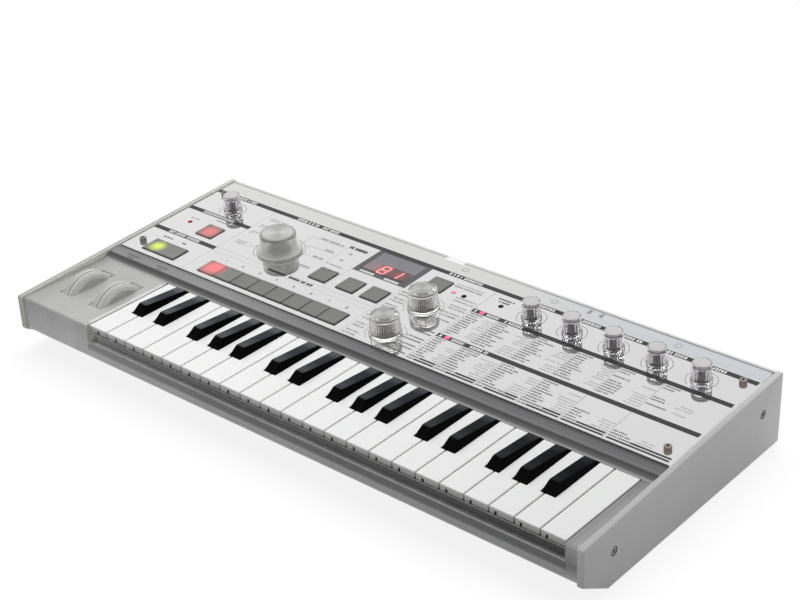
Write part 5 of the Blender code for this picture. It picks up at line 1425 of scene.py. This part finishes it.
def smoothProfile(points, steps):
    # Even samples of a smooth line through the given points
    points = np.asarray(points, float)
    reach = np.concatenate([[0], np.cumsum(np.linalg.norm(np.diff(points, axis=0), axis=1))])
    want = np.linspace(0, reach[-1], steps)
    fine = np.column_stack([np.interp(want, reach, points[:, i]) for i in range(2)])
    for _ in range(3):
        fine[1:-1] = (fine[:-2] + 2 * fine[1:-1] + fine[2:]) / 4
    return fine


def carryAcross(section, x0, x1, steps=2):
    # Outline of y and z carried along x between two places
    places = np.linspace(x0, x1, steps)
    return toWorld(np.stack([np.column_stack([np.full(len(section), x), section]) for x in places]))


def skinPiece(name, profile, thick, x0, x1, finish, samples=40):
    # Smooth skin along a profile: the line and the same line moved inwards, carried across
    outer = smoothProfile(profile, samples)
    step = np.gradient(outer, axis=0)
    normal = np.column_stack([-step[:, 1], step[:, 0]]) / np.linalg.norm(step, axis=1, keepdims=True)
    section = np.concatenate([outer, (outer - normal * thick)[::-1]])
    grid = carryAcross(section, x0, x1, 24)
    piece = makePiece(name, [surface(grid, capFirst=True, capLast=True)], [finishes[finish]], sharp=50)


def railBead():
    # Thin rounded light grey bead along the front edge of the rail under the keys, a painted highlight for the rail's
    # top edge
    section = roundedCorners([(6.2, 36.6), (6.95, 36.6), (6.95, 37.3), (6.2, 37.3)], 0.25)
    piece = makePiece("railBead", [surface(carryAcross(section, -183.4, 246.4), capFirst=True, capLast=True)],
                      [finishes["bead"]])


noseCorner = [(4.0 - 2.3 * math.cos(a), 42.5 + 2.3 * math.sin(a)) for a in np.linspace(0, math.pi / 2, 9)]
noseProfile = [(1.86, 21.0), (1.7, 21.6), (1.7, 30.0)] + noseCorner + [(4.4, 44.8), (4.9, 44.66)]
skinPiece("lipSkin", lip["profile"], lip["thick"], -lip["half"], lip["half"], "lip")
skinPiece("leftNoseSkin", noseProfile, 0.25, -256.9, -184.5, "case", 90)
skinPiece("rightNoseSkin", noseProfile, 0.25, 247.6, 256.9, "case", 90)
railBead()


def lipLabels():
    # Short bars in two rows over the wheels' places, each lying on the lip's slope: z = 48.72 + 0.1 * (y - 93)
    parts = []
    for first, last, y, depth, wide in ((-240.5, -228.5, 93.4, 1.9, 1.0), (-207.0, -196.0, 93.4, 1.9, 1.0),
                                        (-238.0, -232.0, 90.7, 1.0, 0.5), (-204.5, -199.0, 90.7, 1.0, 0.5)):
        for x in np.arange(first, last, wide * 1.7):
            sides = [(x, y), (x + wide, y), (x + wide, y + depth), (x, y + depth)]
            rise = np.interp([side[1] for side in sides], *np.array(lip["profile"]).T)
            rows = [[(px, py, pz + lift) for (px, py), pz in zip(sides, rise)] for lift in (-0.1, 0.05)]
            parts.append(surface(toWorld(rows), capFirst=True, capLast=True))
    piece = makePiece("lipLabels", parts, [finishes["inkText"]])


lipLabels()
print("lip and bead made")


# ---- stage, light and camera ----

def makeFloor():
    size = 6.0
    mesh = bpy.data.meshes.new("studioFloor")
    corners = [(-size, -size, -0.0002), (size, -size, -0.0002), (size, size, -0.0002), (-size, size, -0.0002)]
    mesh.from_pydata(corners, [], [(0, 1, 2, 3)])
    floor = bpy.data.objects.new("studioFloor", mesh)
    bpy.context.scene.collection.objects.link(floor)
    material, tree, shader, coords = startMaterial("studioFloorWhite", Roughness=0.9, Specular_IOR_Level=0.0)
    light = tree.nodes.new("ShaderNodeLightPath")
    seen = mathNode(tree, "MAXIMUM", light.outputs["Is Camera Ray"],
                    mathNode(tree, "MAXIMUM", light.outputs["Is Glossy Ray"], light.outputs["Is Transmission Ray"]))
    shader.inputs["Emission Color"].default_value = (1, 1, 1, 1)
    tree.links.new(mixColors(tree, seen, (0.30, 0.30, 0.30), (0.15, 0.15, 0.15)), shader.inputs["Base Color"])
    tree.links.new(mathNode(tree, "MULTIPLY", seen, 0.86), shader.inputs["Emission Strength"])
    mesh.materials.append(material)


def makeWorld():
    world = bpy.data.worlds.new("studioWorld")
    bpy.context.scene.world = world
    world.use_nodes = True
    tree = world.node_tree
    background = tree.nodes["Background"]
    background.inputs["Color"].default_value = (1, 1, 1, 1)
    light = tree.nodes.new("ShaderNodeLightPath")
    seen = mathNode(tree, "MAXIMUM", light.outputs["Is Camera Ray"],
                    mathNode(tree, "MAXIMUM", light.outputs["Is Glossy Ray"], light.outputs["Is Transmission Ray"]))
    strength = mathNode(tree, "MULTIPLY_ADD", seen, 0.7, 0.3)
    tree.links.new(strength, background.inputs["Strength"])


def makeLamps():
    lamp = bpy.data.lights.new("skyPanel", "SUN")
    lamp.energy = 2.4
    lamp.angle = math.radians(50)
    holder = bpy.data.objects.new("skyPanel", lamp)
    holder.rotation_euler = (math.radians(-18), math.radians(-14), 0)
    holder.visible_glossy = False  # the mirror panel shows the even surroundings, not the lamp's disc
    bpy.context.scene.collection.objects.link(holder)


camera = {"place": (0.72840, -0.79577, 0.66905), "azimuth": 0.72459, "elevation": 0.50277, "roll": -0.04078,
          "lens": 78.209}


def makeCamera():
    data = bpy.data.cameras.new("photoCamera")
    data.sensor_width = 36
    data.lens = camera["lens"]
    data.clip_start = 0.01
    holder = bpy.data.objects.new("photoCamera", data)
    az, el, roll = camera["azimuth"], camera["elevation"], camera["roll"]
    back = Vector((math.sin(az) * math.cos(el), -math.cos(az) * math.cos(el), math.sin(el)))
    right = Vector((math.cos(az), math.sin(az), 0))
    up = back.cross(right)
    side = right * math.cos(roll) + up * math.sin(roll)
    top = up * math.cos(roll) - right * math.sin(roll)
    turn = Matrix((side, top, back)).transposed().to_4x4()
    holder.matrix_world = Matrix.Translation(camera["place"]) @ turn
    bpy.context.scene.collection.objects.link(holder)
    bpy.context.scene.camera = holder


makeFloor()
makeWorld()
makeLamps()
makeCamera()
bpy.context.scene.view_settings.view_transform = "Standard"
print("stage, light and camera made")
